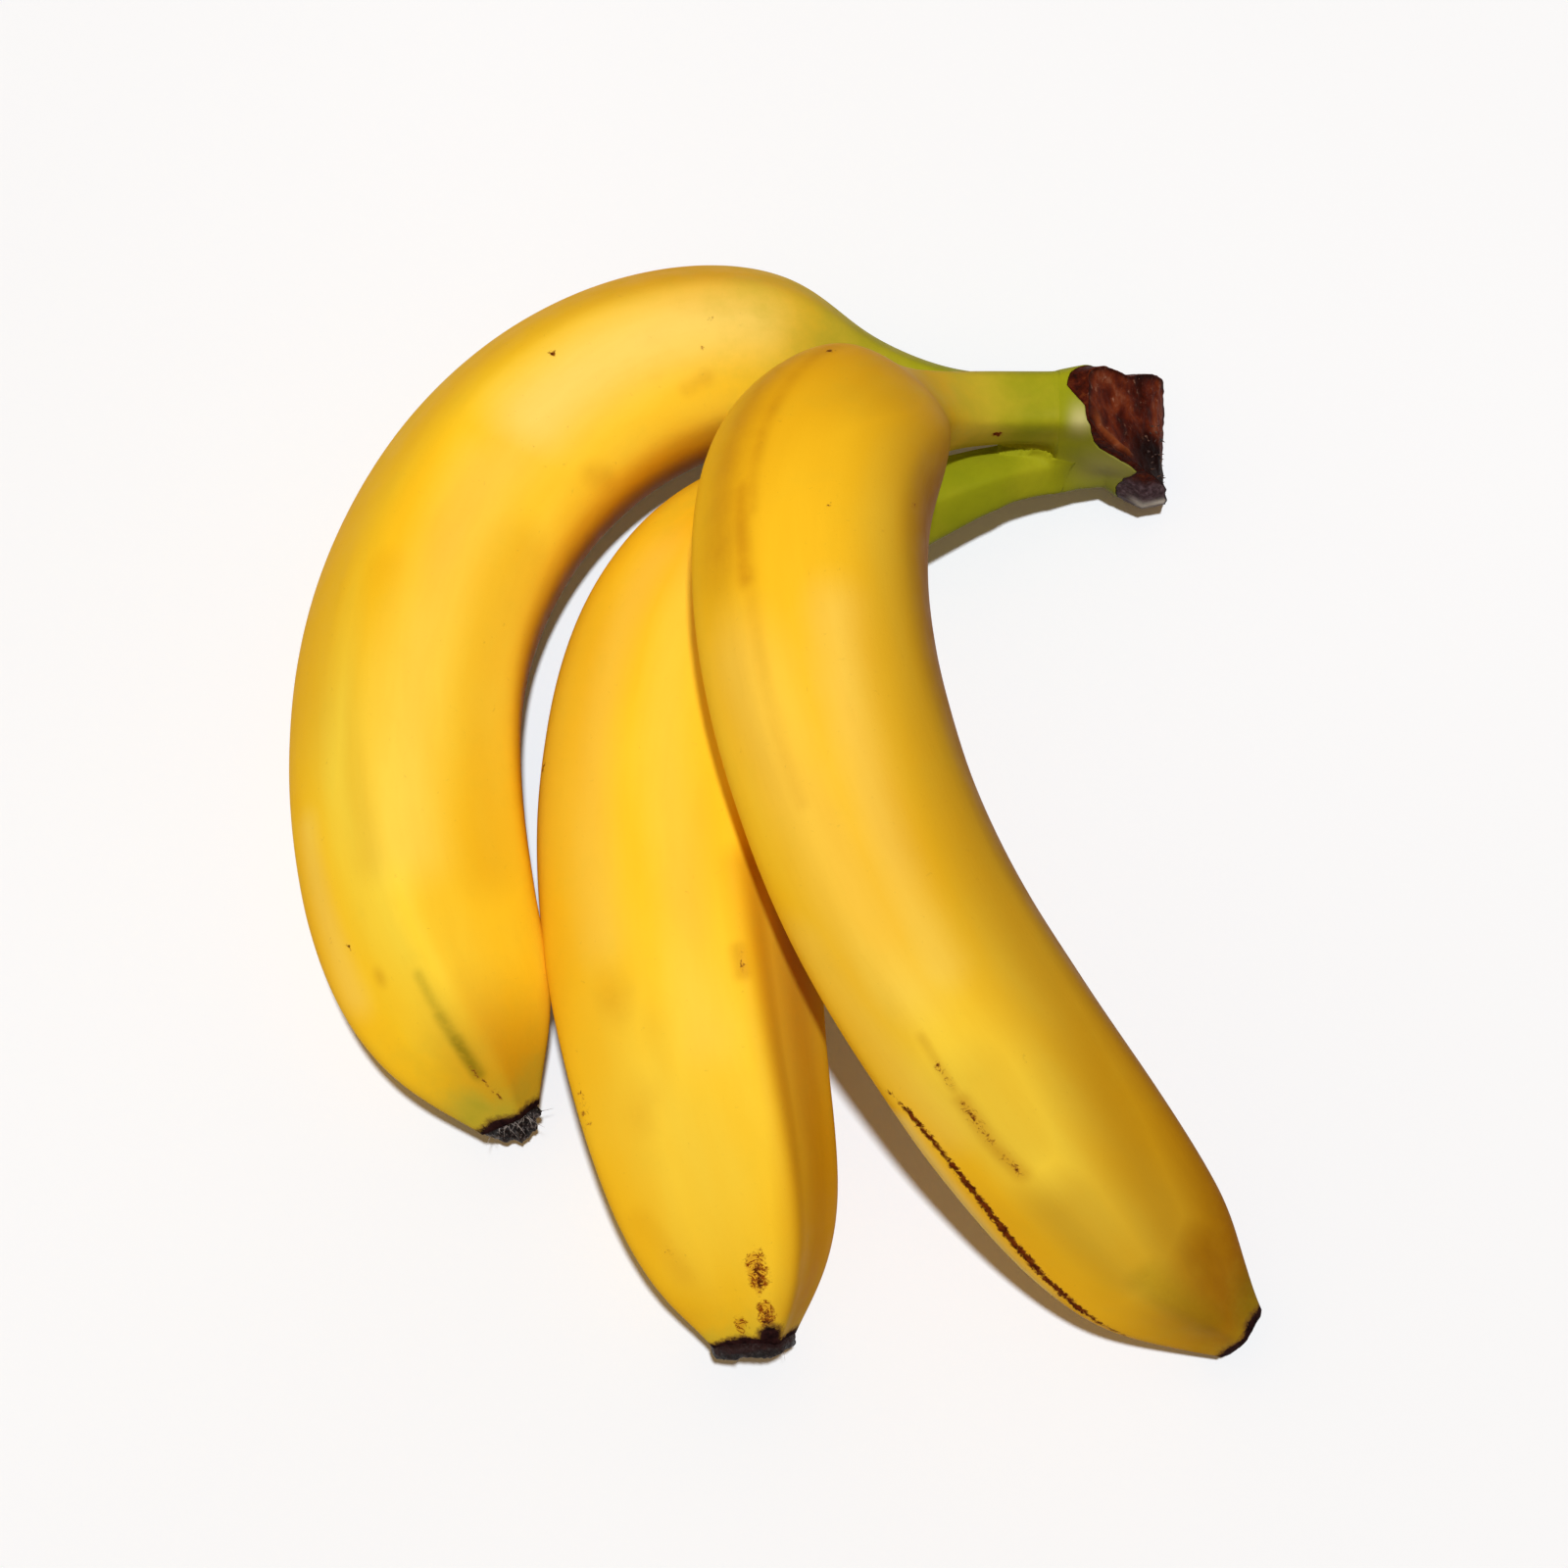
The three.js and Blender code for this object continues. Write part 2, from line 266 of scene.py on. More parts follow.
def tufts(name: str, paths: Array, widths: Array, shift: Array, sides: int = 6) -> bpy.types.Object:
    """Many thin fibres in one mesh: a small polygon is carried along each path, and its radius
    runs from the fibre's width at the root to a tenth of it at the end.

    Args:
        name: the object's name.
        paths: [fibre, step, xyz] in mm.
        widths: one root radius for each fibre, in mm.
        shift: what to add to table millimetres to reach the frame, in mm.
        sides: corners of the polygon.

    Returns:
        The object.
    """
    count, steps = paths.shape[:2]
    forward = np.gradient(paths, axis=1)
    forward /= np.linalg.norm(forward, axis=2, keepdims=True)
    aside = np.cross(forward, np.array([0.31, 0.85, 0.42]))
    aside /= np.linalg.norm(aside, axis=2, keepdims=True)
    other = np.cross(aside, forward)
    angle = np.linspace(0, 2 * np.pi, sides, endpoint=False)
    taper = widths[:, None] * (1 - 0.9 * np.linspace(0, 1, steps)) ** 0.8
    round_ = aside[:, :, None] * np.sin(angle)[:, None] + other[:, :, None] * np.cos(angle)[:, None]
    places = paths[:, :, None] + round_ * taper[:, :, None, None]
    index = np.arange(count * steps * sides).reshape(count, steps, sides)
    turned = np.roll(index, -1, axis=2)
    quads = np.stack([index[:, :-1], turned[:, :-1], turned[:, 1:], index[:, 1:]], -1).reshape(-1, 4)
    ends = [index[:, 0, ::-1], index[:, -1]]
    mesh = make_mesh(name, (places.reshape(-1, 3) + shift) * MM, [quads, *ends])
    return add_object(name, mesh)


def curls(chance: np.random.Generator, root: Array, way: Array, bend: float,
          lengths: tuple[float, float], steps: int) -> Array:
    """Paths that leave their roots and curl: root + length (way t + curl t^2).

    Args:
        chance: where the random draws come from.
        root: where each path starts, one a row, in mm.
        way: which way each one leaves, of any length.
        bend: how strongly they curl.
        lengths: the shortest and the longest, in mm.
        steps: how many points a path has.

    Returns:
        The paths, as [path, step, xyz].
    """
    way = way / np.linalg.norm(way, axis=1, keepdims=True)
    curl = chance.normal(0, bend, way.shape)
    length = chance.uniform(*lengths, (len(way), 1, 1))
    part = np.linspace(0, 1, steps)[None, :, None]
    return root[:, None] + length * (way[:, None] * part + curl[:, None] * part**2)


# ---- Finishes --------------------------------------------------------------------------


def shade(code: str) -> tuple[float, float, float, float]:
    """The linear colour of a screen colour written as six hexadecimal digits."""
    screen = np.array([int(code[k:k + 2], 16) for k in (0, 2, 4)]) / 255
    linear = np.where(screen <= 0.04045, screen / 12.92, ((screen + 0.055) / 1.055) ** 2.4)
    return (*[float(v) for v in linear], 1.0)


Socket = bpy.types.NodeSocket
Fed = Socket | float | tuple[float, ...]


class Nodes:
    """A tree of shader nodes that is put together one step at a time."""

    def __init__(self, tree: bpy.types.NodeTree) -> None:
        """Empties the tree."""
        self.tree = tree
        self.tree.nodes.clear()

    def node(self, kind: str, inputs: dict[str | int, Fed] | None = None,
             **settings: object) -> bpy.types.Node:
        """Adds a node, sets its properties and feeds its inputs, by title or number."""
        made = self.tree.nodes.new(kind)
        for key, setting in settings.items():
            setattr(made, key, setting)
        for key, value in (inputs or {}).items():
            self.feed(made.inputs[key], value)
        return made

    def feed(self, target: Socket, value: Fed) -> None:
        """Links a socket to the target, or sets the target to a plain value."""
        if isinstance(value, bpy.types.NodeSocket):
            self.tree.links.new(value, target)
        else:
            target.default_value = value

    def maths(self, operation: str, first: Socket | float, second: Socket | float = 0.0) -> Socket:
        """One sum on one or two values."""
        return self.node("ShaderNodeMath", {0: first, 1: second}, operation=operation).outputs[0]

    def seen(self) -> Socket:
        """1 where the camera sees the place, straight on, in a gloss or through something clear."""
        path = self.node("ShaderNodeLightPath").outputs
        either = self.maths("MAXIMUM", path["Is Camera Ray"], path["Is Glossy Ray"])
        return self.maths("MAXIMUM", either, path["Is Transmission Ray"])


class Finish(Nodes):
    """A material that is put together from nodes."""

    def __init__(self, name: str) -> None:
        """Starts an empty material."""
        self.material = bpy.data.materials.new(name)
        self.material.use_nodes = True
        super().__init__(self.material.node_tree)

    def value(self, title: str) -> Socket:
        """The numbers that the mesh stores under the title."""
        return self.node("ShaderNodeAttribute", attribute_name=title).outputs["Fac"]

    def place(self, title: str | None = None, stretch: tuple[float, float, float] = (1, 1, 1)) -> Socket:
        """Coordinates in metres: the mesh's own vector under the title, or Object coordinates.

        Args:
            title: the name of the mesh's vector, or None.
            stretch: what each coordinate is multiplied by.

        Returns:
            The coordinates.
        """
        if title:
            source = self.node("ShaderNodeAttribute", attribute_name=title).outputs["Vector"]
        else:
            source = self.node("ShaderNodeTexCoord").outputs["Object"]
        return self.node("ShaderNodeMapping", {"Vector": source, "Scale": stretch}).outputs["Vector"]

    def clouds(self, place: Socket, size: float, detail: float = 2.0, roughness: float = 0.5,
               distortion: float = 0.0) -> Socket:
        """Cloudy noise between 0 and 1 with features about size metres wide."""
        return self.node("ShaderNodeTexNoise", {
            "Vector": place, "Scale": 1 / size, "Detail": detail, "Roughness": roughness,
            "Distortion": distortion,
        }).outputs["Fac"]

    def step(self, value: Socket, low: float, high: float, start: float = 0.0, end: float = 1.0) -> Socket:
        """Runs smoothly from start, where the value is below low, to end, where it is above high."""
        return self.node("ShaderNodeMapRange", {
            "Value": value, "From Min": low, "From Max": high, "To Min": start, "To Max": end,
        }, interpolation_type="SMOOTHSTEP").outputs["Result"]

    def ramp(self, value: Socket, stops: list[tuple[float, str]]) -> Socket:
        """Colours along a value, from stops of (position, colour)."""
        made = self.node("ShaderNodeValToRGB", {"Fac": value})
        elements = made.color_ramp.elements
        while len(elements) < len(stops):
            elements.new(0.5)
        for element, (position, code) in zip(elements, stops):
            element.position = position
            element.color = shade(code)
        return made.outputs["Color"]

    def mix(self, part: Socket, first: Socket | str, second: Socket | str) -> Socket:
        """Mixes two colours, each a socket or a code; part 0 is the first and 1 the second."""
        first, second = (shade(tone) if isinstance(tone, str) else tone for tone in (first, second))
        inputs = {"Factor": part, 6: first, 7: second}
        return self.node("ShaderNodeMix", inputs, data_type="RGBA").outputs[2]

    def bump(self, height: Socket, depth: float, below: Socket | None = None) -> Socket:
        """Tilts the surface as if the height stood depth metres proud, on top of another bump."""
        inputs = {"Height": height, "Strength": 1.0, "Distance": depth}
        if below is not None:
            inputs["Normal"] = below
        return self.node("ShaderNodeBump", inputs).outputs["Normal"]

    def surface(self, colour: Socket, roughness: Socket | float, normal: Socket | None = None,
                **further: Fed) -> bpy.types.Material:
        """Ends the material in one shader.

        Args:
            colour: the base colour.
            roughness: the roughness.
            normal: the bumped normal, if any.
            **further: further inputs of the shader, by title, with _ for a space.

        Returns:
            The finished material.
        """
        inputs = {"Base Color": colour, "Roughness": roughness}
        if normal is not None:
            inputs["Normal"] = normal
        inputs |= {title.replace("_", " "): value for title, value in further.items()}
        shader = self.node("ShaderNodeBsdfPrincipled", inputs)
        self.node("ShaderNodeOutputMaterial", {"Surface": shader.outputs["BSDF"]})
        return self.material


def green_skin(finish: Finish) -> Socket:
    """The olive-green skin that the stalks and the crown share."""
    place = finish.place()
    soft = finish.clouds(place, 0.018, 2.0)
    skin = finish.ramp(soft, [(0.25, "858A12"), (0.5, "979715"), (0.75, "AAA41C")])
    fine = finish.clouds(place, 0.0012, 3.0, 0.6)
    return finish.mix(finish.step(fine, 0.35, 0.75, 0.0, 0.1), skin, "6E6F10")


@dataclass(frozen=True)
class PeelFinish:
    """Ripe peel: satin, cloudy yellow, with stored green, olive, bruised and brown marks, painted shade and
    light.
    """

    name: str
    deep: str
    body: str
    pale: str
    # the colour that the shade marks mix in as painted shade
    painted_shade: str

    def make(self) -> bpy.types.Material:
        """Builds the material."""
        peel = Finish(self.name)
        along = peel.place("straight", (0.35, 1.0, 1.0))
        place = peel.place()
        tone = peel.clouds(along, 0.03, 3.0, 0.5)
        colour = peel.ramp(tone, [(0.28, self.deep), (0.5, self.body), (0.74, self.pale)])
        # Painted highlight: the light marks mix in a pale yellow sheen.
        colour = peel.mix(peel.value("light"), colour, "FFE684")
        # Painted shade: the shade marks mix in a darker, more orange colour, mostly where the peel turns
        # from the lamp and partly as the peel's own deeper orange.
        colour = peel.mix(peel.value("shade"), colour, self.painted_shade)
        grain = peel.clouds(peel.place("straight", (0.2, 1.0, 1.0)), 0.0016, 3.0, 0.6)
        colour = peel.mix(peel.step(grain, 0.3, 0.75, 0.0, 0.07), colour, self.deep)

        ragged = peel.clouds(place, 0.006, 4.0, 0.6)
        green = peel.maths("ADD", peel.value("green"), peel.step(ragged, 0.2, 0.8, -0.09, 0.09))
        colour = peel.mix(peel.step(green, 0.0, 0.55), colour, "C9AE2F")
        colour = peel.mix(peel.step(green, 0.35, 1.0), colour, green_skin(peel))

        fleck = peel.clouds(place, 0.0011, 4.0, 0.65)
        olive = peel.maths("MULTIPLY", peel.value("olive"), peel.step(fleck, 0.25, 0.6, 0.75, 1.0))
        colour = peel.mix(olive, colour, "77690A")
        bruise = peel.maths("MULTIPLY", peel.value("bruise"), peel.step(ragged, 0.2, 0.7, 0.5, 1.0))
        colour = peel.mix(bruise, colour, "BE7608")

        web = peel.clouds(place, 0.0016, 3.0, 0.6, 1.5)
        strand = peel.step(peel.maths("ABSOLUTE", peel.maths("SUBTRACT", web, 0.5)), 0.03, 0.072, 1.0, 0.0)
        net = peel.maths("ADD", peel.value("net"), peel.step(fleck, 0.25, 0.75, -0.3, 0.3))
        net = peel.step(net, 0.3, 0.7)
        colour = peel.mix(peel.maths("MULTIPLY", net, 0.42), colour, "BC6E12")
        colour = peel.mix(peel.maths("MULTIPLY", net, strand), colour, "803507")

        netted = peel.clouds(place, 0.0009, 5.0, 0.7, 0.6)
        brown = peel.maths("ADD", peel.value("brown"), peel.step(netted, 0.25, 0.75, -0.42, 0.42))
        stain = peel.step(brown, 0.32, 0.62)
        colour = peel.mix(peel.maths("MULTIPLY", stain, 0.85), colour, "A9671B")
        scab = peel.step(brown, 0.55, 0.8)
        colour = peel.mix(scab, colour, peel.ramp(fleck, [(0.35, "401404"), (0.65, "7C3509")]))

        dead = peel.maths("ADD", peel.value("dead"), peel.step(netted, 0.25, 0.75, -0.14, 0.14))
        husk = peel.step(dead, 0.4, 0.62)
        colour = peel.mix(peel.step(dead, 0.08, 0.5, 0.0, 0.8), colour, "6B4420")
        colour = peel.mix(husk, colour, peel.ramp(fleck, [(0.35, "120607"), (0.7, "331A18")]))

        gloss = peel.step(peel.clouds(place, 0.004, 3.0), 0.3, 0.7, 0.48, 0.58)
        gloss = peel.maths("ADD", gloss, peel.maths("MULTIPLY", peel.maths("MAXIMUM", scab, husk), 0.35))
        normal = peel.bump(grain, 0.00004)
        normal = peel.bump(peel.clouds(place, 0.0005, 2.0), 0.000012, normal)
        normal = peel.bump(peel.maths("MAXIMUM", scab, husk), 0.00012, normal)
        return peel.surface(colour, gloss, normal, Specular_IOR_Level=0.03)


@dataclass(frozen=True)
class CrownFinish:
    """Green stalk skin that dries to dark brown at its edge, and the mottled, fibrous cut."""

    name: str

    def make(self) -> bpy.types.Material:
        """Builds the material."""
        crown = Finish(self.name)
        place = crown.place()
        ragged = crown.clouds(place, 0.0022, 4.0, 0.6)
        fine = crown.clouds(place, 0.0009, 4.0, 0.65)
        # Pale green where the callus swells beside the cut, and as painted light on the skin below the cut.
        colour = crown.mix(crown.value("pale"), green_skin(crown), "D2C684")
        dried = crown.maths("ADD", crown.value("dried"), crown.step(ragged, 0.2, 0.8, -0.2, 0.2))
        edge = crown.step(dried, 0.3, 0.5)
        crumbs = crown.clouds(place, 0.0013, 4.0, 0.65)
        skin = crown.ramp(crumbs, [(0.3, "180603"), (0.55, "481507"), (0.75, "6E3416")])
        shrunk = crown.ramp(fine, [(0.3, "2A1A1C"), (0.5, "4E3A3E"), (0.72, "786468")])
        skin = crown.mix(crown.value("grey"), skin, shrunk)
        colour = crown.mix(edge, colour, skin)
        # Painted highlight: a pale line along the skin under the cut.
        colour = crown.mix(crown.value("line"), colour, "E2DACE")

        flesh = crown.clouds(place, 0.0042, 4.0, 0.6, 0.3)
        cut = crown.ramp(flesh, [(0.3, "2A0903"), (0.46, "4E1709"), (0.6, "702D14"), (0.78, "915439")])
        speck = crown.maths("MULTIPLY", crown.step(fine, 0.56, 0.68), crown.step(ragged, 0.42, 0.62))
        cut = crown.mix(crown.maths("MULTIPLY", speck, 0.45), cut, "B98A70")
        cut = crown.mix(crown.maths("MULTIPLY", crown.value("lip"), 0.55), cut, "9A5228")
        # Near-black at the rim of the cut, and painted shade over the low, front part of the cut.
        cut = crown.mix(crown.value("dark_rim_and_shade"), cut, "0C0201")
        colour = crown.mix(crown.value("cut"), colour, cut)

        rough = crown.step(crown.value("cut"), 0.2, 0.8, 0.5, 0.6)
        normal = crown.bump(crown.clouds(place, 0.0005, 2.0), 0.000015)
        torn = crown.maths("MAXIMUM", crown.value("cut"), edge)
        normal = crown.bump(crown.maths("MULTIPLY", torn, flesh), 0.0005, normal)
        normal = crown.bump(crown.maths("MULTIPLY", torn, fine), 0.00022, normal)
        return crown.surface(colour, rough, normal, Specular_IOR_Level=0.03)


@dataclass(frozen=True)
class CrustFinish:
    """Dried flower remains: black and crusty, with purple-brown edges and pale dead fibre."""

    name: str
    fibre: float

    def make(self) -> bpy.types.Material:
        """Builds the material."""
        crust = Finish(self.name)
        place = crust.place()
        grit = crust.clouds(place, 0.0011, 5.0, 0.7, 0.5)
        colour = crust.ramp(grit, [(0.3, "050303"), (0.5, "150C0B"), (0.68, "33201D")])
        lint = crust.clouds(crust.place(None, (1.0, 1.0, 0.4)), 0.0007, 5.0, 0.7, 1.2)
        pale = crust.maths("MULTIPLY", crust.step(lint, 0.5, 0.66), crust.value("lint"))
        colour = crust.mix(crust.maths("MULTIPLY", pale, self.fibre), colour, "9C8F8A")
        colour = crust.mix(crust.maths("MULTIPLY", crust.value("rim"), 0.45), colour, "341614")
        normal = crust.bump(grit, 0.0006)
        normal = crust.bump(lint, 0.0003, normal)
        return crust.surface(colour, crust.step(grit, 0.3, 0.7, 0.35, 0.6), normal, Specular_IOR_Level=0.12)


@dataclass(frozen=True)
class FibreFinish:
    """Thin dead fibre, from a dark root to a paler end."""

    name: str
    dark: str
    light: str

    def make(self) -> bpy.types.Material:
        """Builds the material."""
        fibre = Finish(self.name)
        colour = fibre.ramp(fibre.clouds(fibre.place(), 0.001, 3.0), [(0.35, self.dark), (0.65, self.light)])
        return fibre.surface(colour, 0.8)


@dataclass(frozen=True)
class FloorFinish:
    """Plain white floor, faintly uneven. What it throws back onto the fruit is toned down.

    Attributes:
        name: the material's name.
        white: the paler of its two whites.
        off_white: the other one.
        thrown_back: its colour for the light that it throws back.
        glow: a faint glow, only as the camera sees it, that keeps the white from going grey.
        glow_tint: the colour of that glow.
    """

    name: str
    white: str = "FEFEFE"
    off_white: str = "FAFAFA"
    thrown_back: str = "A0A0A0"
    glow: float = 0.035
    glow_tint: tuple[float, float, float, float] = (1.0, 0.92, 0.8, 1.0)

    def make(self) -> bpy.types.Material:
        """Builds the material."""
        floor = Finish(self.name)
        seen = floor.seen()
        clouds = floor.clouds(floor.place(), 0.3, 2.0)
        white = floor.ramp(clouds, [(0.3, self.white), (0.7, self.off_white)])
        colour = floor.mix(seen, self.thrown_back, white)
        glow = floor.maths("MULTIPLY", seen, self.glow)
        return floor.surface(colour, 0.9, Specular_IOR_Level=0.1, Emission_Color=self.glow_tint,
                             Emission_Strength=glow)


# ---- The bananas -----------------------------------------------------------------------


@dataclass(frozen=True)
class Mark:
    """A mark on the peel: a line of (fraction of the length, degrees from the top) points that
    fades out over its reach in mm. A mark of one point is a spot.
    """

    title: str
    path: Stops
    reach: float
    strength: float = 1.0


@dataclass(frozen=True)
class Banana:
    """One banana with its stalk: a five-ridged section carried along a curved centre line.

    Attributes:
        stump: which of the three it is.
        spine: points that draw the centre line, from the crown to the tip (x, y, z), in mm.
        girth: points that draw the mean radius (fraction of the length, radius).
        ridges: where the five ridges stand (fraction, five angles in degrees from the top).
        relief: how far the soft ridges stand out (fraction, part of the radius).
        faced: how flat the faces between the ridges are, 0 to 1 (fraction, amount).
        crests: how far the fine crest of each ridge stands out (fraction, five parts).
        green: how green the peel is (fraction, amount).
        marks: the marks on the peel, painted shade and painted light among them.
        finish: the peel's finish.
        seed: which random lumps it has.
        rings: how many rings its mesh has.
        sides: how many points a ring has.
        dead_from: fraction of the length past which the peel is dead.
        ridge_spared: how much further the live peel runs on a ridge, as a part of the length.
        crowding: how much closer together its rings stand at both ends, as a part of a step.
        swells: the low lumps of the peel (width, height), in mm.
        swollen: the fractions of the length over which those lumps set in.
        grain: the same for fine lumps that are drawn out along the banana.
        joining: how far along x the stalk's own shape gives way to the merged one, in mm.
    """

    stump: Stump
    spine: Stops
    girth: Stops
    ridges: Stops
    relief: Stops
    faced: Stops
    crests: Stops
    green: Stops
    marks: tuple[Mark, ...]
    finish: PeelFinish
    seed: int
    rings: int = 384
    sides: int = 224
    dead_from: float = 0.992
    ridge_spared: float = 0.006
    crowding: float = 0.035
    swells: Stops = ((34, 0.22), (11, 0.07))
    swollen: tuple[float, float] = (0.12, 0.3)
    grain: tuple[float, float] = (3.0, 0.03)
    joining: float = 4.0

    def axes(self, fraction: Array) -> tuple[Array, Array, Array, Array, float]:
        """The centre line and the directions of the section at fractions of the length.

        Args:
            fraction: fractions of the length, one axis.

        Returns:
            Centres, side, top and forward directions, and the whole length in mm.
        """
        curve = smooth_curve(np.array(self.spine), SPINE_SAMPLES)
        along = np.concatenate([[0], np.cumsum(np.linalg.norm(np.diff(curve, axis=0), axis=1))])
        tangent = np.gradient(curve, along, axis=0)
        at = fraction * along[-1]
        centre = np.stack([np.interp(at, along, curve[:, k]) for k in range(3)], -1)
        forward = np.stack([np.interp(at, along, tangent[:, k]) for k in range(3)], -1)
        forward /= np.linalg.norm(forward, axis=1, keepdims=True)
        side = np.cross(forward, UP)
        side /= np.linalg.norm(side, axis=1, keepdims=True)
        return centre, side, np.cross(side, forward), forward, float(along[-1])

    def mean_radius(self, fraction: Array) -> Array:
        """The mean radius in mm at fractions of the length."""
        profile = smooth_curve(np.array(self.girth), SPINE_SAMPLES)
        return np.interp(fraction, profile[:, 0], profile[:, 1])

    def section(self, fraction: Array, angle: Array) -> Array:
        """Radius of the section in mm. A round section has 1 plus a bell at each soft ridge,
        where a bell is exp(keenness (cos(angle) - 1)). A faced one is the soft minimum of the
        distances to the chords between the ridges: the sum of (cos(angle to the chord's
        middle) / chord's distance) ^ p, to the power -1/p. The two are mixed, a narrow bell is
        added at each crest, and the mean radius multiplies it all.

        Args:
            fraction: fractions of the length, of any shape.
            angle: angles from the top in radians, of the same shape.

        Returns:
            The radii, of the same shape.
        """
        ridges = np.radians(values_at(self.ridges, fraction))
        away = np.cos(angle[..., None] - ridges) - 1
        relief = values_at(self.relief, fraction)
        soft = 1 + relief * np.exp(RIDGE_KEENNESS * away).sum(-1)
        half = (np.roll(ridges, -1, axis=-1) - ridges) % (2 * np.pi) / 2
        facing = np.maximum(np.cos(angle[..., None] - ridges - half), 0) / np.cos(half)
        faces = (facing**CORNER_POWER).sum(-1) ** (-1 / CORNER_POWER)
        flat = values_at(self.faced, fraction)
        crests = values_at(self.crests, fraction).reshape(*fraction.shape, -1)
        fine = (crests * np.exp(CREST_KEENNESS * away)).sum(-1)
        shape = (1 - flat) * soft / (1 + relief * 5 * RIDGE_MEAN) + flat * faces / FACED_MEAN + fine
        return self.mean_radius(fraction) * shape

    def distance(self, mark: Mark, along: Array, angle: Array, radius: Array) -> Array:
        """Distance in mm over the peel to a mark's path, with the peel rolled out flat around
        each straight piece of the path.

        Args:
            mark: the mark.
            along: distance from the crown in mm.
            angle: angle from the top in radians.
            radius: the radius in mm.

        Returns:
            The distances.
        """
        length = self.axes(np.zeros(1))[4]
        path = [(at * length, np.radians(turn)) for at, turn in mark.path]
        nearest = np.full(along.shape, np.inf)
        for (from_at, from_turn), (to_at, to_turn) in zip(path, path[1:] or path):
            middle = (from_turn + to_turn) / 2
            across = radius * ((angle - middle + np.pi) % (2 * np.pi) - np.pi)
            low = radius * (from_turn - middle)
            high = radius * (to_turn - middle)
            run, rise = to_at - from_at, high - low
            onward, aside = along - from_at, across - low
            part = np.clip((onward * run + aside * rise) / (run**2 + rise**2 + 1e-9), 0, 1)
            nearest = np.minimum(nearest, np.hypot(onward - part * run, aside - part * rise))
        return nearest

    def surface(self, field: "StalkField") -> Surface:
        """The peel as one closed surface: centre + side r sin(angle) + top r cos(angle), with
        the radius from section, from the merging stalks near the crown, and from low lumps.

        Args:
            field: the merging stalks.

        Returns:
            The surface, with its marks as values.
        """
        even = np.linspace(0, 1, self.rings)
        probe = np.linspace(0, 0.1, SEARCH[0])
        first = np.interp(-STALK_END, -self.axes(probe)[0][:, 0], probe)
        crowded = even - self.crowding * np.sin(2 * np.pi * even) / (2 * np.pi)
        fraction = first + (1 - first) * crowded
        turn = np.linspace(0, 2 * np.pi, self.sides, endpoint=False)
        centre, side, top, _, length = self.axes(fraction)
        at, angle = np.meshgrid(fraction, turn, indexing="ij")
        radius = self.section(at, angle)
        across = np.stack([np.zeros_like(at), np.sin(angle), np.cos(angle)], -1)
        straight = across * radius[..., None] + at[..., None] * length * np.array([1.0, 0, 0])
        swells = sum(high * lumps(straight, wide, self.seed + layer)
                     for layer, (wide, high) in enumerate(self.swells))
        radius = radius + smooth_step(at, *self.swollen) * swells
        wide, high = self.grain
        radius = radius + high * lumps(straight * np.array([0.3, 1, 1]), wide, self.seed + 2)
        out = outwards(side[:, None], top[:, None], angle)
        near = (centre[:, 0] > field.start) & (fraction < 0.5)
        middle = np.broadcast_to(centre[near][:, None], out[near].shape)
        merged = field.reach(middle, out[near], self.stump)
        joined = smooth_step(centre[near, 0], field.start, field.start + self.joining)[:, None]
        radius[near] += (merged - radius[near]) * joined
        points = centre[:, None] + out * radius[..., None]
        points[..., 2] = np.maximum(points[..., 2], TABLE_HEIGHT)
        values = self.stored(at, angle, self.mean_radius(at), length)
        values["straight"] = straight * MM
        return Surface(f"peel_{self.stump.value}", points, values)

    def spared(self, at: Array, angle: Array) -> Array:
        """How much further the live peel runs along a ridge at the tip, as a part of the length."""
        away = np.cos(angle[..., None] - np.radians(values_at(self.ridges, at))) - 1
        return self.ridge_spared * np.exp(RIDGE_KEENNESS * away).sum(-1)

    def stored(self, at: Array, angle: Array, radius: Array, length: float) -> dict[str, Array]:
        """The values that the finish reads: how green, olive, bruised, brown, netted with brown
        and dead the peel is at each point, and its painted shade and painted light. A mark
        fades straight to nothing where it is brown or dead, and smoothly otherwise, and the strongest mark
        counts.

        Args:
            at: fractions of the length.
            angle: angles from the top in radians.
            radius: mean radii in mm.
            length: the whole length in mm.

        Returns:
            Each set of values under its title.
        """
        titles = ("green", "olive", "bruise", "brown", "net", "dead", "shade", "light")
        values = {title: np.zeros_like(at) for title in titles}
        values["green"] = values_at(self.green, at)
        live = at - self.spared(at, angle)
        values["dead"] = smooth_step(live, self.dead_from - 0.01, self.dead_from + 0.006)
        for mark in self.marks:
            gap = self.distance(mark, at * length, angle, radius)
            if mark.title in ("brown", "dead"):
                fade = np.clip(1 - gap / mark.reach, 0, 1)
            else:
                fade = 1 - smooth_step(gap, 0, mark.reach)
            values[mark.title] = np.maximum(values[mark.title], mark.strength * fade)
        return values


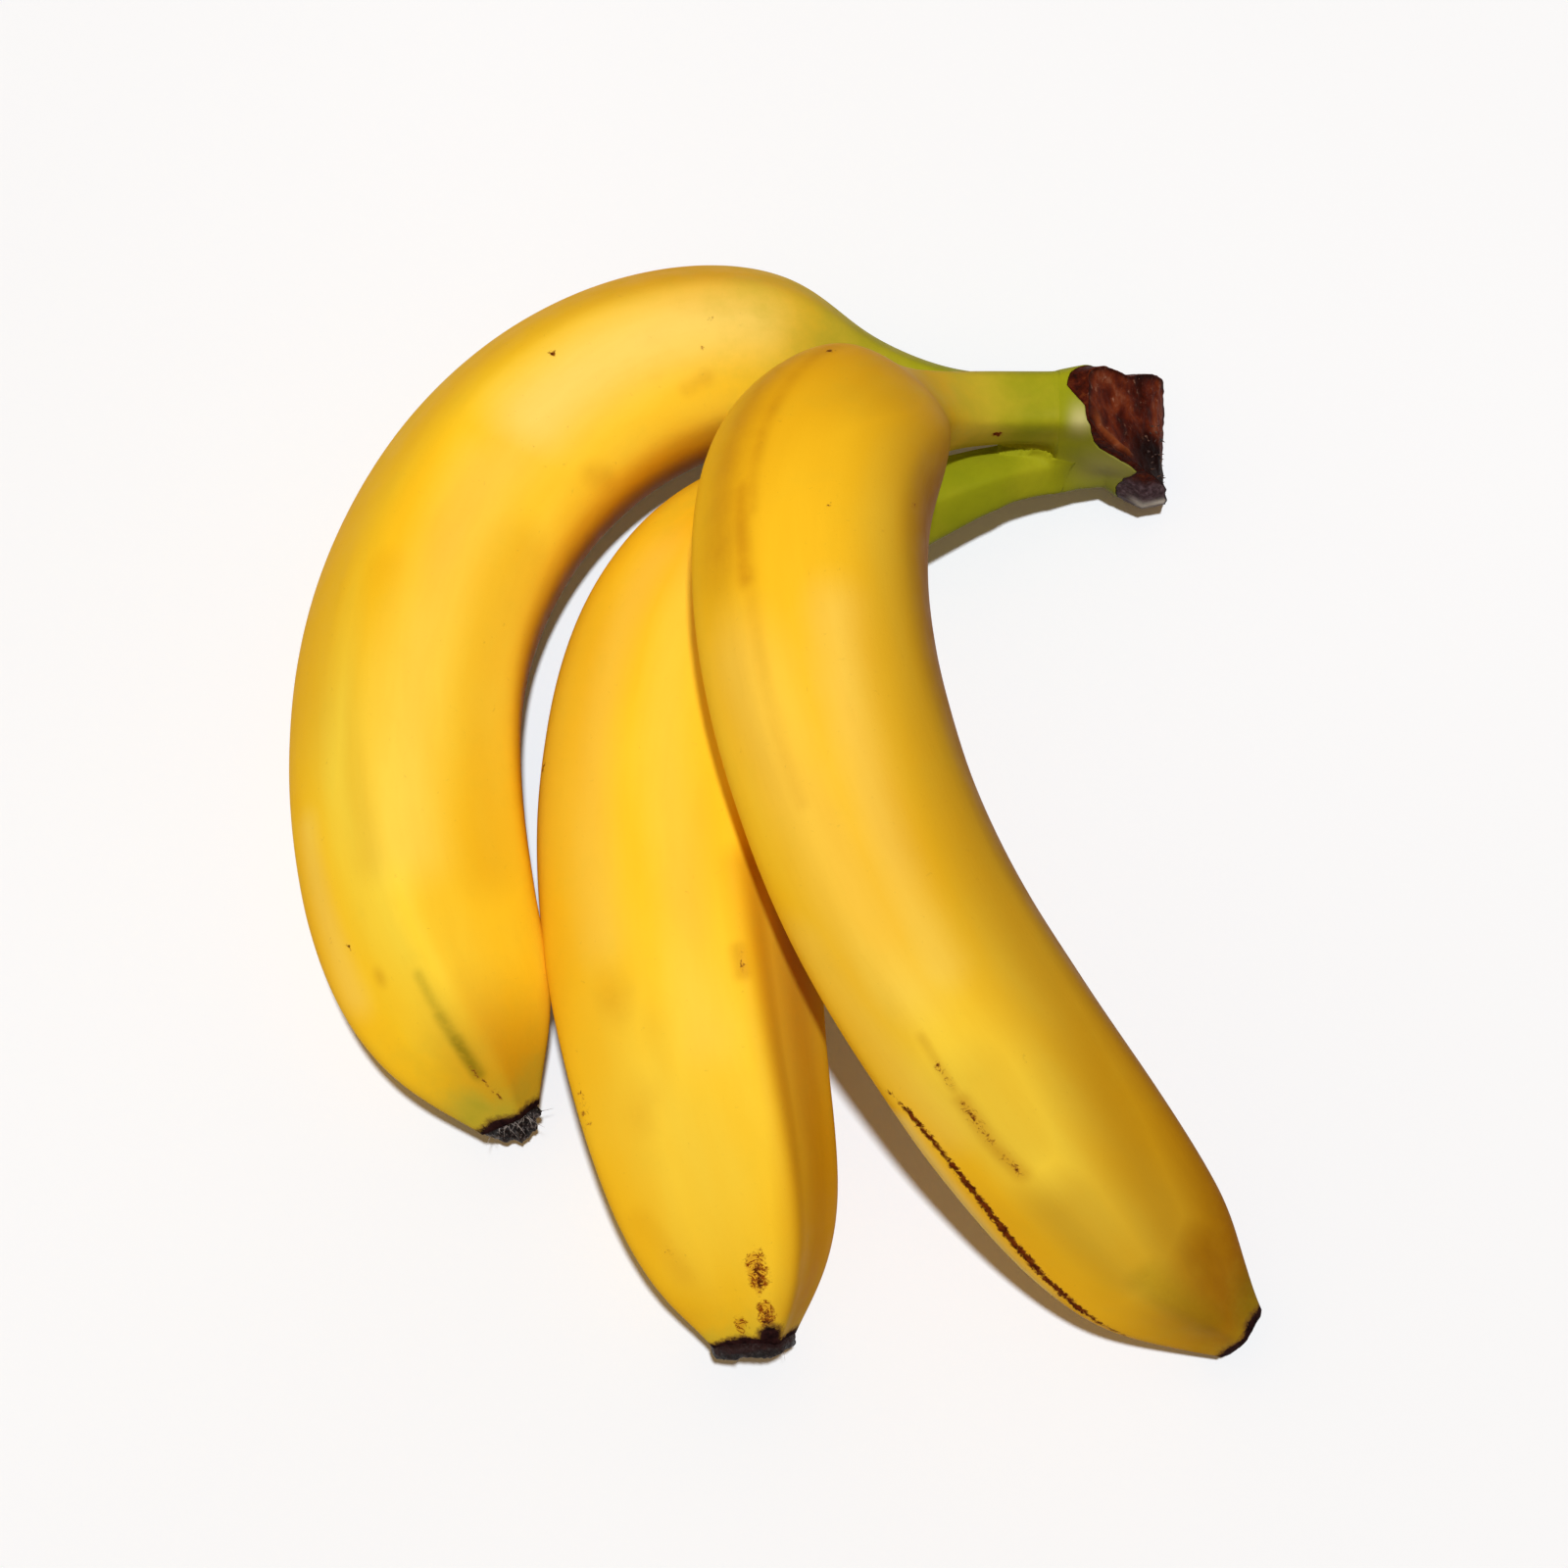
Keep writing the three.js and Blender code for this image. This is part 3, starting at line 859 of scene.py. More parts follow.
@dataclass(frozen=True)
class StalkField:
    """The three stalks and the crown as one rounded body: a point is inside where the sum of
    exp(sharpness x depth inside each stump) is above 1.

    Attributes:
        bananas: the three bananas.
        stumps: how each stump runs on through the crown (x, y, z, radius).
        web: the tissue between the stumps (x, y, z, radius).
        sharpness: how sharply the stumps keep apart, per mm (x, natural logarithm of it).
        overlap: how far a stalk's own surface runs on into its neighbour, in mm.
        start: x where the stalks begin to merge.
        ridge_fade: x where the last of the stalks' ridges has faded.
    """

    bananas: tuple[Banana, ...]
    stumps: dict[Stump, Stops]
    web: Stops = ((31, 55.2, 17.6, -3), (33, 55.6, 17.6, 1.2), (38, 56.2, 16.6, 2.4), (42, 57.6, 15.4, 3.0),
                  (48, 57, 15.6, 4.2), (62, 56.2, 16, 5.4))
    sharpness: Stops = ((31, 2.5), (35, 1.6), (39, 0.3), (42, -0.8), (70, -0.8))
    overlap: float = 0.35
    start: float = 31.0
    ridge_fade: float = 56.0

    def depths(self, place: Array) -> dict[Stump | str, Array]:
        """How deep a point is inside each stump, in mm, measured in the plane across +X."""
        found: dict[Stump | str, Array] = {}
        x, y, z = place[..., 0], place[..., 1], place[..., 2]
        fraction = np.linspace(0, 0.25, 160)
        for banana in self.bananas:
            centre = banana.axes(fraction)[0]
            reach = banana.mean_radius(fraction)
            keep = centre[:, 0] < STALK_END
            line = np.concatenate([np.column_stack([centre, reach])[keep][::-1], self.stumps[banana.stump]])
            middle_y, middle_z, mean = (np.interp(x, line[:, 0], line[:, k]) for k in (1, 2, 3))
            at = np.interp(x, centre[::-1, 0], fraction[::-1])
            angle = np.arctan2(y - middle_y, z - middle_z)
            ridged = banana.section(at, angle) / banana.mean_radius(at)
            fade = smooth_step(x, STALK_END, self.ridge_fade)
            found[banana.stump] = mean * (ridged * (1 - fade) + fade) - np.hypot(y - middle_y, z - middle_z)
        web_y, web_z, web_r = np.moveaxis(values_at(self.web, x), -1, 0)
        found["web"] = web_r - np.hypot(y - web_y, z - web_z)
        return found

    def reach(self, middle: Array, out: Array, own: Stump | None, most: float = 20.0) -> Array:
        """How far a ray runs before it leaves the body, found by halving the span again and
        again. A stalk's own surface also stops a little past halfway to its neighbour.

        Args:
            middle: where the rays start, inside the body.
            out: their directions.
            own: the stalk that the rays belong to, or None for the whole body.
            most: a distance that is always outside.

        Returns:
            The distances in mm.
        """
        inside = np.zeros(out.shape[:-1])
        outside = np.full(out.shape[:-1], most)
        for _ in range(HALVINGS):
            half = (inside + outside) / 2
            place = middle + out * half[..., None]
            depth = self.depths(place)
            sharp = np.exp(values_at(self.sharpness, place[..., 0]))
            filled = sum(np.exp(np.clip(sharp * d, -60, 60)) for d in depth.values()) > 1
            if own is not None:
                others = np.maximum.reduce([depth[b.stump] for b in self.bananas if b.stump is not own])
                filled &= others - depth[own] < self.overlap
            inside = np.where(filled, half, inside)
            outside = np.where(filled, outside, half)
        return inside


# ---- The crown -------------------------------------------------------------------------


@dataclass(frozen=True)
class Crown:
    """The piece of crown that the stalks grow from, ending in one slanting knife cut.

    Attributes:
        field: the merging stalks.
        middle: y and z that its sections are measured from.
        start: x where its skin takes over from the stalks'.
        cut: the slanting knife cut and the torn end below it (height, x).
        guess: x of the cut that the search for the end of the skin starts from.
        dried_edge: width in mm of the skin's dried edge (degrees from the top towards -Y, mm).
        sides: how many points a ring has.
        skin_rings: how many rings its skin has.
        cut_rings: how many steps its cut has from rim to middle.
        sink: how deep the middle of the cut has sunk, in mm.
        fibres: how many torn fibres stand out of the cut.
    """

    field: StalkField
    middle: tuple[float, float] = (57.8, 14.8)
    start: float = 41.4
    cut: Stops = ((-5, 60.2), (9, 59.7), (12, 59.0), (14.5, 57.2), (28, 46.1), (35, 40.3))
    guess: float = 52.0
    dried_edge: Stops = (
        (-180, 1.6), (-135, 2.5), (-100, 5.0), (-75, 4.0), (-60, 2.0), (-41, 2.4), (-26, 3.3), (-14, 3.5),
        (-5, 1.7), (2, 0.4), (15, 0.5), (28, 2.1), (36, 2.5), (45, 2.0), (60, 1.2), (80, 1.4), (94, 3.4),
        (104, 5.4), (125, 8), (150, 7.5), (165, 4), (180, 1.6),
    )
    sides: int = 320
    skin_rings: int = 56
    cut_rings: int = 46
    sink: float = 0.7
    fibres: int = 64

    def cut_at(self, height: Array) -> Array:
        """x of the knife cut at a height."""
        return values_at(self.cut, height)

    def skin(self, part: Array, angle: Array) -> tuple[Array, Array, Array]:
        """The skin: a point is the middle plus its reach along a ray, and its x is a part of the
        way from the start to the cut. It shrinks where it has dried.

        Args:
            part: how far along the skin each point is, 0 to 1.
            angle: its angle from the top towards -Y, in radians.

        Returns:
            The points in mm, how dried they are, and how pale: the callus and the painted light below the
            cut.
        """
        out = np.stack([np.zeros_like(angle), -np.sin(angle), np.cos(angle)], -1)
        base = np.broadcast_to(np.array([0, *self.middle]), out.shape)
        x = self.start + part * (self.guess - self.start)
        for _ in range(CUT_ROUNDS):
            middle = base + np.stack([x, 0 * x, 0 * x], -1)
            reach = self.field.reach(middle, out, None)
            height = self.middle[1] + reach * np.cos(angle)
            x = self.start + part * (self.cut_at(height) - self.start)
        middle = base + np.stack([x, 0 * x, 0 * x], -1)
        from_cut = self.cut_at(height) - x
        round_ = np.stack([0 * angle, np.sin(angle) * 9, np.cos(angle) * 9], -1)
        margin = values_at(self.dried_edge, in_degrees(angle)) + 0.35 * lumps(round_, 2.6, 41, 2)
        dried = smooth_step(margin - from_cut, -0.5, 0.5)
        skin = middle + out * reach[..., None]
        shrink = 0.22 * dried + 0.12 * dried * (1 + lumps(skin, 1.3, 45, 2))
        shrink = shrink + 0.02 * (1 - smooth_step(part, 0, 0.12))
        skin = middle + out * (reach - shrink)[..., None]
        skin[..., 0] += 0.25 * smooth_step(part, 0.85, 1.0) * lumps(skin, 1.6, 46, 2)
        pale = self.callus(skin)
        skin = skin + out * (0.5 * pale)[..., None]
        # pale holds the callus beside the cut and the painted light on the skin below it.
        return skin, dried, np.maximum(pale, self.painted_light(skin))

    def face(self, rim: Array, around: Array) -> tuple[Array, Array, Array]:
        """The cut: rings that close in from the rim on the slanting plane, with lumps, a sunken
        middle and a lip near the rim. The rim's own raggedness fades inwards.

        Args:
            rim: the skin's last ring, in mm.
            around: the angle of each of its points, in degrees.

        Returns:
            The points in mm, how far each is on the lip, and how near each ring is to the rim.
        """
        inward = np.linspace(1, 0, self.cut_rings + 1)[1:-1, None]
        core = np.array([0.0, *self.middle])
        face = core + (rim - core) * inward[..., None]
        face[..., 0] = self.cut_at(face[..., 2])
        lip = np.exp(-(((inward - 0.84) / 0.07) ** 2))
        lip = lip * smooth_step(around, -5, 12) * smooth_step(-around, -62, -42)
        dents = -self.sink + 0.3 * lumps(face, 3.2, 47, 2) + 0.12 * lumps(face, 0.9, 48, 2)
        lift = (1 - inward**6) * dents + 0.55 * lip
        face = face + CUT_NORMAL * lift[..., None]
        face[..., 0] += (rim[:, 0] - self.cut_at(rim[:, 2])) * (1 - smooth_step(1 - inward, 0, 0.12))
        return face, lip, inward

    def surface(self) -> Surface:
        """Skin rings from the stalks to the cut, then rings that close in over the cut.

        Returns:
            The surface, with its values: how dried and cut it is, the near-black rim and painted shade of
                the cut, how pale it is (callus and painted light), how grey, and a painted highlight line.
        """
        turn = np.linspace(0, 2 * np.pi, self.sides, endpoint=False)
        around = in_degrees(turn)
        part, angle = np.meshgrid(np.linspace(0, 1, self.skin_rings), turn, indexing="ij")
        skin, dried, pale = self.skin(part, angle)
        face, lip, inward = self.face(skin[-1], around)
        points = np.concatenate([skin, face])
        points[..., 2] = np.maximum(points[..., 2], TABLE_HEIGHT)
        none, whole = np.zeros_like(part), np.ones_like(lip)
        on_cut = np.concatenate([smooth_step(part, 0.985, 1.0), whole])
        edge = np.concatenate([none, whole - smooth_step(1 - inward, 0, 0.1)])
        # Painted shade: the low, front part of the cut is coloured near-black.
        low = smooth_step(-points[..., 2], -21.5, -14.5) * smooth_step(-points[..., 1], -60, -55.5)
        grey = smooth_step(around, 98, 112) * smooth_step(-around, -170, -152)
        # A painted highlight: a pale line along the skin under the cut.
        line = np.exp(-(((around - 129) / 4.2) ** 2)) * smooth_step(points[..., 0], 53, 56)
        return Surface("crown_stub", points, {
            "dried": np.concatenate([dried, whole]),
            "cut": on_cut,
            "dark_rim_and_shade": np.clip(np.maximum(0.9 * edge, 0.97 * low), 0, 1),
            "pale": np.concatenate([pale, 0 * whole]),
            "lip": np.concatenate([none, lip]),
            "grey": np.broadcast_to(grey, on_cut.shape),
            "line": line * (1 - on_cut),
        })

    def callus(self, place: Array) -> Array:
        """A pale swelling on the skin beside the cut, as a bell around one point."""
        swelling = 0.85 * bell(place, (44.9, 54.7, 28.0), (1.9, 2.7, 3.2))
        return swelling * smooth_step(place[..., 0], 41.5, 44)

    def painted_light(self, place: Array) -> Array:
        """Painted light on the skin below the cut: how much paler it is coloured, as a flat bell around one
        point.
        """
        painted_brightness = 0.4 * bell(place, (49.5, 50.5, 16.5), (6.0, 4.0, 6.0))
        return painted_brightness * smooth_step(place[..., 0], 41.5, 48)

    def bristles(self, shift: Array) -> bpy.types.Object:
        """Short torn fibres that stand out of the lower edge of the cut."""
        chance = np.random.default_rng(5)
        height = chance.uniform(4, 15, self.fibres)
        y = chance.uniform(50.0, 60.0, self.fibres)
        root = np.stack([self.cut_at(height) - 0.9, y, height], -1)
        way = np.array([0.88, 0, 0.3]) + chance.normal(0, 0.45, (self.fibres, 3))
        paths = curls(chance, root, way, 0.35, (0.25, 0.75), 6)
        return tufts("crown_bristles", paths, chance.uniform(0.1, 0.24, self.fibres), shift)


# ---- The dried flower remains ----------------------------------------------------------


@dataclass(frozen=True)
class BlossomEnd:
    """The black, crusty pad that is left of the flower on a banana's tip: a short ragged wall
    that rolls over into a sunken middle.

    Attributes:
        banana: the banana it sits on.
        radius: its radius in mm.
        reach: how far its wall stands out (degrees from the top, mm).
        nub: length in mm of the dead style in its middle.
        lint: how much pale dead fibre it holds.
        fibres: how many loose fibres it has.
        rough: how ragged it is, where 1 is about half a millimetre.
        seed: which random lumps it has.
        sides: how many points a ring has.
        rings: how many rings its mesh has.
        profile: what it is turned from (part of the wall's reach, part of the radius).
    """

    banana: Banana
    radius: float
    reach: Stops
    nub: float
    lint: float
    fibres: int
    rough: float
    seed: int
    sides: int = 144
    rings: int = 64
    profile: Stops = (
        (-0.45, 0.8), (-0.25, 0.98), (0.1, 1.06), (0.5, 1.04), (0.85, 1.0), (1.04, 0.93), (1.0, 0.8),
        (0.75, 0.66), (0.5, 0.5), (0.42, 0.3), (0.45, 0.14), (0.5, 0.04),
    )

    def frame(self) -> tuple[Array, Array, Array, Array]:
        """The tip's centre and its side, top and forward directions."""
        centre, side, top, forward, _ = self.banana.axes(np.array([1.0]))
        return centre[0], side[0], top[0], forward[0]

    def surface(self) -> Surface:
        """The profile turned about the tip's own line. The wall's reach and the radius change
        with the angle, and everything is roughened by lumps.

        Returns:
            The surface, with its rim and its pale fibre as values.
        """
        ahead, width = smooth_curve(np.array(self.profile), self.rings).T[..., None]
        turn = np.linspace(0, 2 * np.pi, self.sides, endpoint=False)
        out = np.where(ahead < 0, ahead * 1.6, ahead * values_at(self.reach, in_degrees(turn)))
        corners = np.radians(values_at(self.banana.ridges, np.array(1.0)))
        ridged = np.exp(RIDGE_KEENNESS * (np.cos(turn[:, None] - corners) - 1)).sum(-1)
        wide = self.radius * width * (0.93 + 0.13 * ridged)
        centre, side, top, forward = self.frame()
        around = outwards(side, top, turn)
        smooth = centre + forward * out[..., None] + around * wide[..., None]
        rough = self.rough * smooth_step(ahead, -0.1, 0.3)
        crumbs = 0.4 * lumps(smooth, 2.0, self.seed, 2) + 0.15 * lumps(smooth, 0.6, self.seed + 1)
        wide = wide + rough * crumbs
        out = out + rough * (0.55 * lumps(smooth, 1.5, self.seed + 2, 3))
        out = out + self.nub * np.exp(-((wide / 0.9) ** 2)) * (width < 0.6)
        points = centre + forward * out[..., None] + around * np.maximum(wide, 0.05)[..., None]
        points[..., 2] = np.maximum(points[..., 2], TABLE_HEIGHT)
        rim = (1 - smooth_step(ahead, 0.1, 0.6)) * (width > 0.7) * np.ones_like(wide)
        lint = self.lint * smooth_step(lumps(points, 2.4, self.seed + 3), -0.4, 0.5)
        name = f"blossom_{self.banana.stump.value}"
        return Surface(name, points, {"rim": rim, "lint": lint})

    def threads(self, shift: Array) -> bpy.types.Object:
        """Loose pale fibres that lie over the pad and curl off its edge."""
        chance = np.random.default_rng(self.seed)
        centre, side, top, forward = self.frame()
        turn = chance.uniform(-1.9, 1.3, self.fibres)
        start = self.radius * chance.uniform(0.5, 1.0, self.fibres)
        around = outwards(side, top, turn)
        rise = values_at(self.reach, in_degrees(turn)) * chance.uniform(0.3, 0.9, self.fibres)
        root = centre + around * start[:, None] + forward * rise[:, None]
        way = forward + around * 0.5 + chance.normal(0, 0.5, (self.fibres, 3))
        paths = curls(chance, root, way, 0.7, (0.6, 1.6), 8)
        paths[..., 2] = np.maximum(paths[..., 2], TABLE_HEIGHT + 0.2)
        name = f"blossom_threads_{self.banana.stump.value}"
        return tufts(name, paths, chance.uniform(0.05, 0.1, self.fibres), shift)


# ---- The stage -------------------------------------------------------------------------


@dataclass(frozen=True)
class Stage:
    """A white floor, a small high lamp, a wide weak lamp from the left that leaves the floor
    out, a soft surround and the camera.

    Attributes:
        target: the point of the frame that the camera looks at, in mm.
        distance: how far away the camera stands, in mm.
        elevation: how high it stands, in degrees above the table.
        lens: its focal length in mm.
        floor_size: half the width of the floor, in metres.
        sun: strength of the high lamp.
        sun_angle: how wide it looks, in degrees.
        sun_lean: its turns about X and Y from straight above, in degrees.
        sun_tint: the colour of both lamps.
        fill: strength of the wide lamp.
        fill_angle: how wide it looks, in degrees.
        fill_lean: how far it leans to the left, in degrees.
        surround: strength of the light from all around.
        surround_tint: its colour.
        backdrop: how bright the surround is as the camera sees it.
    """

    target: tuple[float, float, float]
    distance: float = 600.0
    elevation: float = 75.0
    lens: float = 91.8
    floor_size: float = 4.0
    sun: float = 2.45
    sun_angle: float = 3.0
    sun_lean: tuple[float, float] = (3.2, 2.5)
    sun_tint: tuple[float, float, float] = (0.975, 1.045, 1.13)
    fill: float = 0.75
    fill_angle: float = 40.0
    fill_lean: float = 60.0
    surround: float = 0.18
    surround_tint: tuple[float, float, float] = (1.05, 0.68, 0.3)
    backdrop: float = 0.97

    def floor(self) -> bpy.types.Object:
        """A wide flat floor at height 0."""
        half = self.floor_size
        places = np.array([(-half, -half, 0), (half, -half, 0), (half, half, 0), (-half, half, 0)])
        floor = add_object("floor", make_mesh("floor", places, [np.array([[0, 1, 2, 3]])]))
        floor.data.materials.append(FloorFinish("floor_white").make())
        return floor

    def lamp(self, name: str, strength: float, width: float, lean: tuple[float, float]) -> bpy.types.Object:
        """A distant lamp.

        Args:
            name: its name.
            strength: its strength.
            width: how wide it looks from the bunch, in degrees. A wide lamp throws soft shadows.
            lean: its turns about X and Y from straight above, in degrees.

        Returns:
            The lamp.
        """
        lamp = bpy.data.lights.new(name, "SUN")
        lamp.energy = strength
        lamp.color = self.sun_tint
        lamp.angle = np.radians(width)
        thing = bpy.data.objects.new(name, lamp)
        thing.rotation_euler = (*np.radians(lean), 0)
        bpy.context.scene.collection.objects.link(thing)
        return thing

    def world(self) -> None:
        """A soft white surround, shown as white behind the floor."""
        world = bpy.data.worlds.new("surround")
        bpy.context.scene.world = world
        world.use_nodes = True
        nodes = Nodes(world.node_tree)
        light, backdrop = (
            nodes.node("ShaderNodeBackground", {"Strength": strength, "Color": (*tint, 1)}).outputs[0]
            for strength, tint in ((self.surround, self.surround_tint), (self.backdrop, (1, 1, 1)))
        )
        mix = nodes.node("ShaderNodeMixShader", {"Fac": nodes.seen(), 1: light, 2: backdrop})
        nodes.node("ShaderNodeOutputWorld", {"Surface": mix.outputs[0]})

    def camera(self) -> None:
        """The camera, high in front of the bunch."""
        data = bpy.data.cameras.new("camera")
        data.lens = self.lens
        data.sensor_width = 36.0
        data.clip_start, data.clip_end = 0.02, 20.0
        camera = bpy.data.objects.new("camera", data)
        bpy.context.scene.collection.objects.link(camera)
        rise = np.radians(self.elevation)
        back = Vector((0, -float(np.cos(rise)), float(np.sin(rise))))
        camera.location = Vector(self.target) * MM + back * self.distance * MM
        camera.rotation_euler = back.to_track_quat("Z", "Y").to_euler()
        bpy.context.scene.camera = camera

    def build(self) -> None:
        """Sets up the whole stage and how colours are shown."""
        floor = self.floor()
        self.lamp("high_lamp", self.sun, self.sun_angle, self.sun_lean)
        fill = self.lamp("fill_lamp", self.fill, self.fill_angle, (0.0, -self.fill_lean))
        fill.light_linking.receiver_collection = bpy.data.collections.new("kept_dark")
        fill.light_linking.receiver_collection.objects.link(floor)
        fill.light_linking.receiver_collection.collection_objects[0].light_linking.link_state = "EXCLUDE"
        self.world()
        self.camera()
        bpy.context.scene.view_settings.view_transform = "Standard"


# ---- The bunch -------------------------------------------------------------------------

LEFT = Banana(
    stump=Stump.LEFT,
    spine=((45, 63.2, 13.2), (34, 63.2, 12.3), (24, 64, 12), (12, 68, 15), (-6, 71, 18), (-28, 64.5, 18),
           (-46, 47.5, 18), (-56.5, 23, 18), (-56.5, -3, 18), (-52, -25, 17.5), (-46, -40, 14.5),
           (-41, -49, 10.5)),
    girth=((0, 4.5), (0.05, 4.6), (0.11, 4.8), (0.18, 5.5), (0.225, 13), (0.31, 15.5), (0.43, 17.2),
           (0.55, 17.4), (0.69, 17.4), (0.81, 17.6), (0.91, 15.2), (0.96, 9.8), (0.99, 5.6), (1, 4.6)),
    ridges=((0, -55, 28, 95, 165, 232), (0.6, -55, 22, 92, 162, 230), (0.85, -60, 8, 84, 156, 226),
            (1, -72, -12, 66, 140, 214)),
    relief=((0, 0.22), (0.2, 0.12), (0.5, 0.12), (0.8, 0.16), (0.92, 0.25), (1, 0.3)),
    faced=((0, 0.1), (0.3, 0.2), (0.6, 0.25), (0.85, 0.5), (0.95, 0.6), (1, 0.4)),
    crests=((0, 0.03, 0.03, 0.03, 0.03, 0.03), (0.2, 0.02, 0.02, 0.01, 0.01, 0.02), (0.5, 0, 0.004, 0, 0, 0),
            (0.8, 0.01, 0.015, 0.01, 0.01, 0.01), (0.94, 0.03, 0.05, 0.03, 0.03, 0.03),
            (1, 0.04, 0.05, 0.04, 0.04, 0.04)),
    green=((0, 1), (0.1, 0.95), (0.16, 0.75), (0.22, 0.35), (0.3, 0.05), (0.4, 0), (0.9, 0),
           (0.955, 0.12), (1, 0.5)),
    marks=(
        Mark("olive", ((0.885, 14), (0.92, 11)), 1.6, 0.3),
        Mark("olive", ((0.912, 12), (0.935, 10)), 1.9, 0.45),
        Mark("olive", ((0.93, 10), (0.955, 8)), 1.9, 0.72),
        Mark("brown", ((0.95, 11), (0.957, 9)), 0.6, 0.5),
        Mark("brown", ((0.962, 7), (0.968, 5)), 0.7, 0.52),
        Mark("brown", ((0.972, 3), (0.979, -1)), 0.7, 0.48),
        Mark("green", ((0.978, 35), (0.985, 50)), 7, 0.55),
        Mark("brown", ((0.402, 16),), 0.9, 0.75),
        Mark("brown", ((0.289, 4),), 0.9, 0.7),
        Mark("brown", ((0.299, -13),), 0.7, 0.7),
        Mark("bruise", ((0.3, -31), (0.32, -34)), 2.2, 0.26),
        Mark("bruise", ((0.432, -53), (0.44, -48)), 4, 0.3),
        Mark("brown", ((0.841, 67),), 0.7, 0.6),
        Mark("brown", ((0.85, 55), (0.856, 52)), 0.7, 0.55),
        Mark("bruise", ((0.876, 40),), 2.2, 0.4),
        # The light marks below are painted highlights; the shade marks are painted shade where the peel
        # turns from the lamp, partly also its own deeper orange.
        Mark("light", ((0.26, 2), (0.34, 0), (0.44, -4)), 11, 0.52),
        Mark("light", ((0.44, -8), (0.6, -10), (0.8, 0)), 9, 0.17),
        Mark("shade", ((0.3, -85), (0.85, -95)), 16, 0.5),
        Mark("light", ((0.5, -2), (0.62, -12)), 8, 0.16),
        Mark("light", ((0.77, 66), (0.88, 64)), 5, 0.2),
        Mark("shade", ((0.3, 75), (0.68, 70)), 20, 0.32),
        Mark("shade", ((0.54, -44), (0.7, -42), (0.82, -40)), 9, 0.28),
        Mark("shade", ((0.6, 21), (0.8, 21)), 6, 0.25),
        Mark("shade", ((0.95, -10), (1, -10)), 15, 0.55),
    ),
    finish=PeelFinish("peel_left", "F0AA10", "FDC622", "FFD840", "C88208"),
    seed=11,
)

MIDDLE = Banana(
    stump=Stump.MIDDLE,
    spine=((45, 54.8, 9.2), (34, 52, 14), (23.5, 46.4, 14.6), (8, 43.5, 15), (-3.5, 36.5, 18),
           (-12, 21, 20.5), (-15.7, 0, 20.5), (-15.8, -20, 20.5), (-13.5, -40, 19.7), (-9, -60, 17.3),
           (-5.8, -73, 13.8), (-4.6, -81.9, 10.4)),
    girth=((0, 4.3), (0.06, 4.3), (0.14, 5.2), (0.21, 10), (0.31, 17.5), (0.43, 20.4), (0.56, 20.6),
           (0.69, 19.2), (0.8, 17.2), (0.89, 15.6), (0.955, 11.5), (0.985, 7.3), (1, 5.8)),
    ridges=((0, -20, 85, 150, 215, 275), (0.55, -22, 82, 150, 215, 275), (0.8, -29, 78, 148, 212, 272),
            (1, -32, 68, 140, 205, 265)),
    relief=((0, 0.22), (0.2, 0.12), (0.5, 0.12), (0.8, 0.2), (0.92, 0.3), (1, 0.35)),
    faced=((0, 0.1), (0.35, 0.25), (0.55, 0.45), (0.75, 0.75), (0.95, 0.8), (1, 0.5)),
    crests=((0, 0.03, 0.03, 0.03, 0.03, 0.03), (0.2, 0.02, 0.02, 0.01, 0.01, 0.02), (0.5, 0.008, 0, 0, 0, 0),
            (0.7, 0.03, 0.005, 0.01, 0.01, 0.01), (0.93, 0.05, 0.03, 0.03, 0.03, 0.03),
            (1, 0.05, 0.04, 0.04, 0.04, 0.04)),
    green=((0, 1), (0.12, 1), (0.2, 0.7), (0.28, 0.25), (0.36, 0), (0.93, 0), (0.975, 0.12), (1, 0.35)),
    marks=(
        Mark("net", ((0.928, -9), (0.944, -11)), 2.9, 1.0),
        Mark("brown", ((0.934, -10), (0.945, -12)), 2.1, 0.62),
        Mark("net", ((0.967, -15), (0.975, -16)), 2.2, 1.0),
        Mark("brown", ((0.972, -16), (0.978, -17)), 1.8, 0.68),
        Mark("net", ((0.98, 15),), 2.6, 0.9),
        Mark("bruise", ((0.709, 45),), 6, 0.3),
        Mark("bruise", ((0.786, 39), (0.8, 45)), 5, 0.14),
        Mark("brown", ((0.523, 80),), 1.0, 0.8),
        Mark("brown", ((0.693, -24), (0.708, -24)), 0.8, 0.45),
        Mark("bruise", ((0.69, -23), (0.71, -24)), 1.8, 0.5),
        Mark("brown", ((0.77, 74), (0.8, 75)), 1.0, 0.42),
        Mark("brown", ((0.906, 57), (0.916, 47)), 1.0, 0.4),
        Mark("bruise", ((0.88, 62), (0.93, 50)), 3.0, 0.2),
        Mark("dead", ((0.99, -20), (1, -24)), 2.6, 1.0),
        # The light marks below are painted highlights; the shade marks are painted shade where the peel
        # turns from the lamp, partly also its own deeper orange.
        Mark("shade", ((0.3, -60), (0.55, -56), (0.7, -60), (1, -66)), 13, 0.74),
        Mark("shade", ((0.62, -31), (0.72, -37), (0.82, -39), (0.9, -37), (1, -40)), 5.8, 0.6),
        Mark("shade", ((0.74, -58), (0.84, -62), (0.94, -68), (1, -68)), 6.5, 0.66),
        Mark("shade", ((0.74, 26), (0.82, 24)), 8, 0.18),
        Mark("light", ((0.35, 20), (0.6, 0), (0.75, -6)), 8, 0.12),
        Mark("light", ((0.37, 45), (0.55, 48), (0.66, 48)), 8, 0.14),
        Mark("shade", ((0.45, 75), (0.95, 65)), 20, 0.3),
        Mark("shade", ((0.84, 15), (1, 15)), 24, 0.2),
    ),
    finish=PeelFinish("peel_middle", "F2AC10", "FEC724", "FFD640", "B47006"),
    seed=23,
)

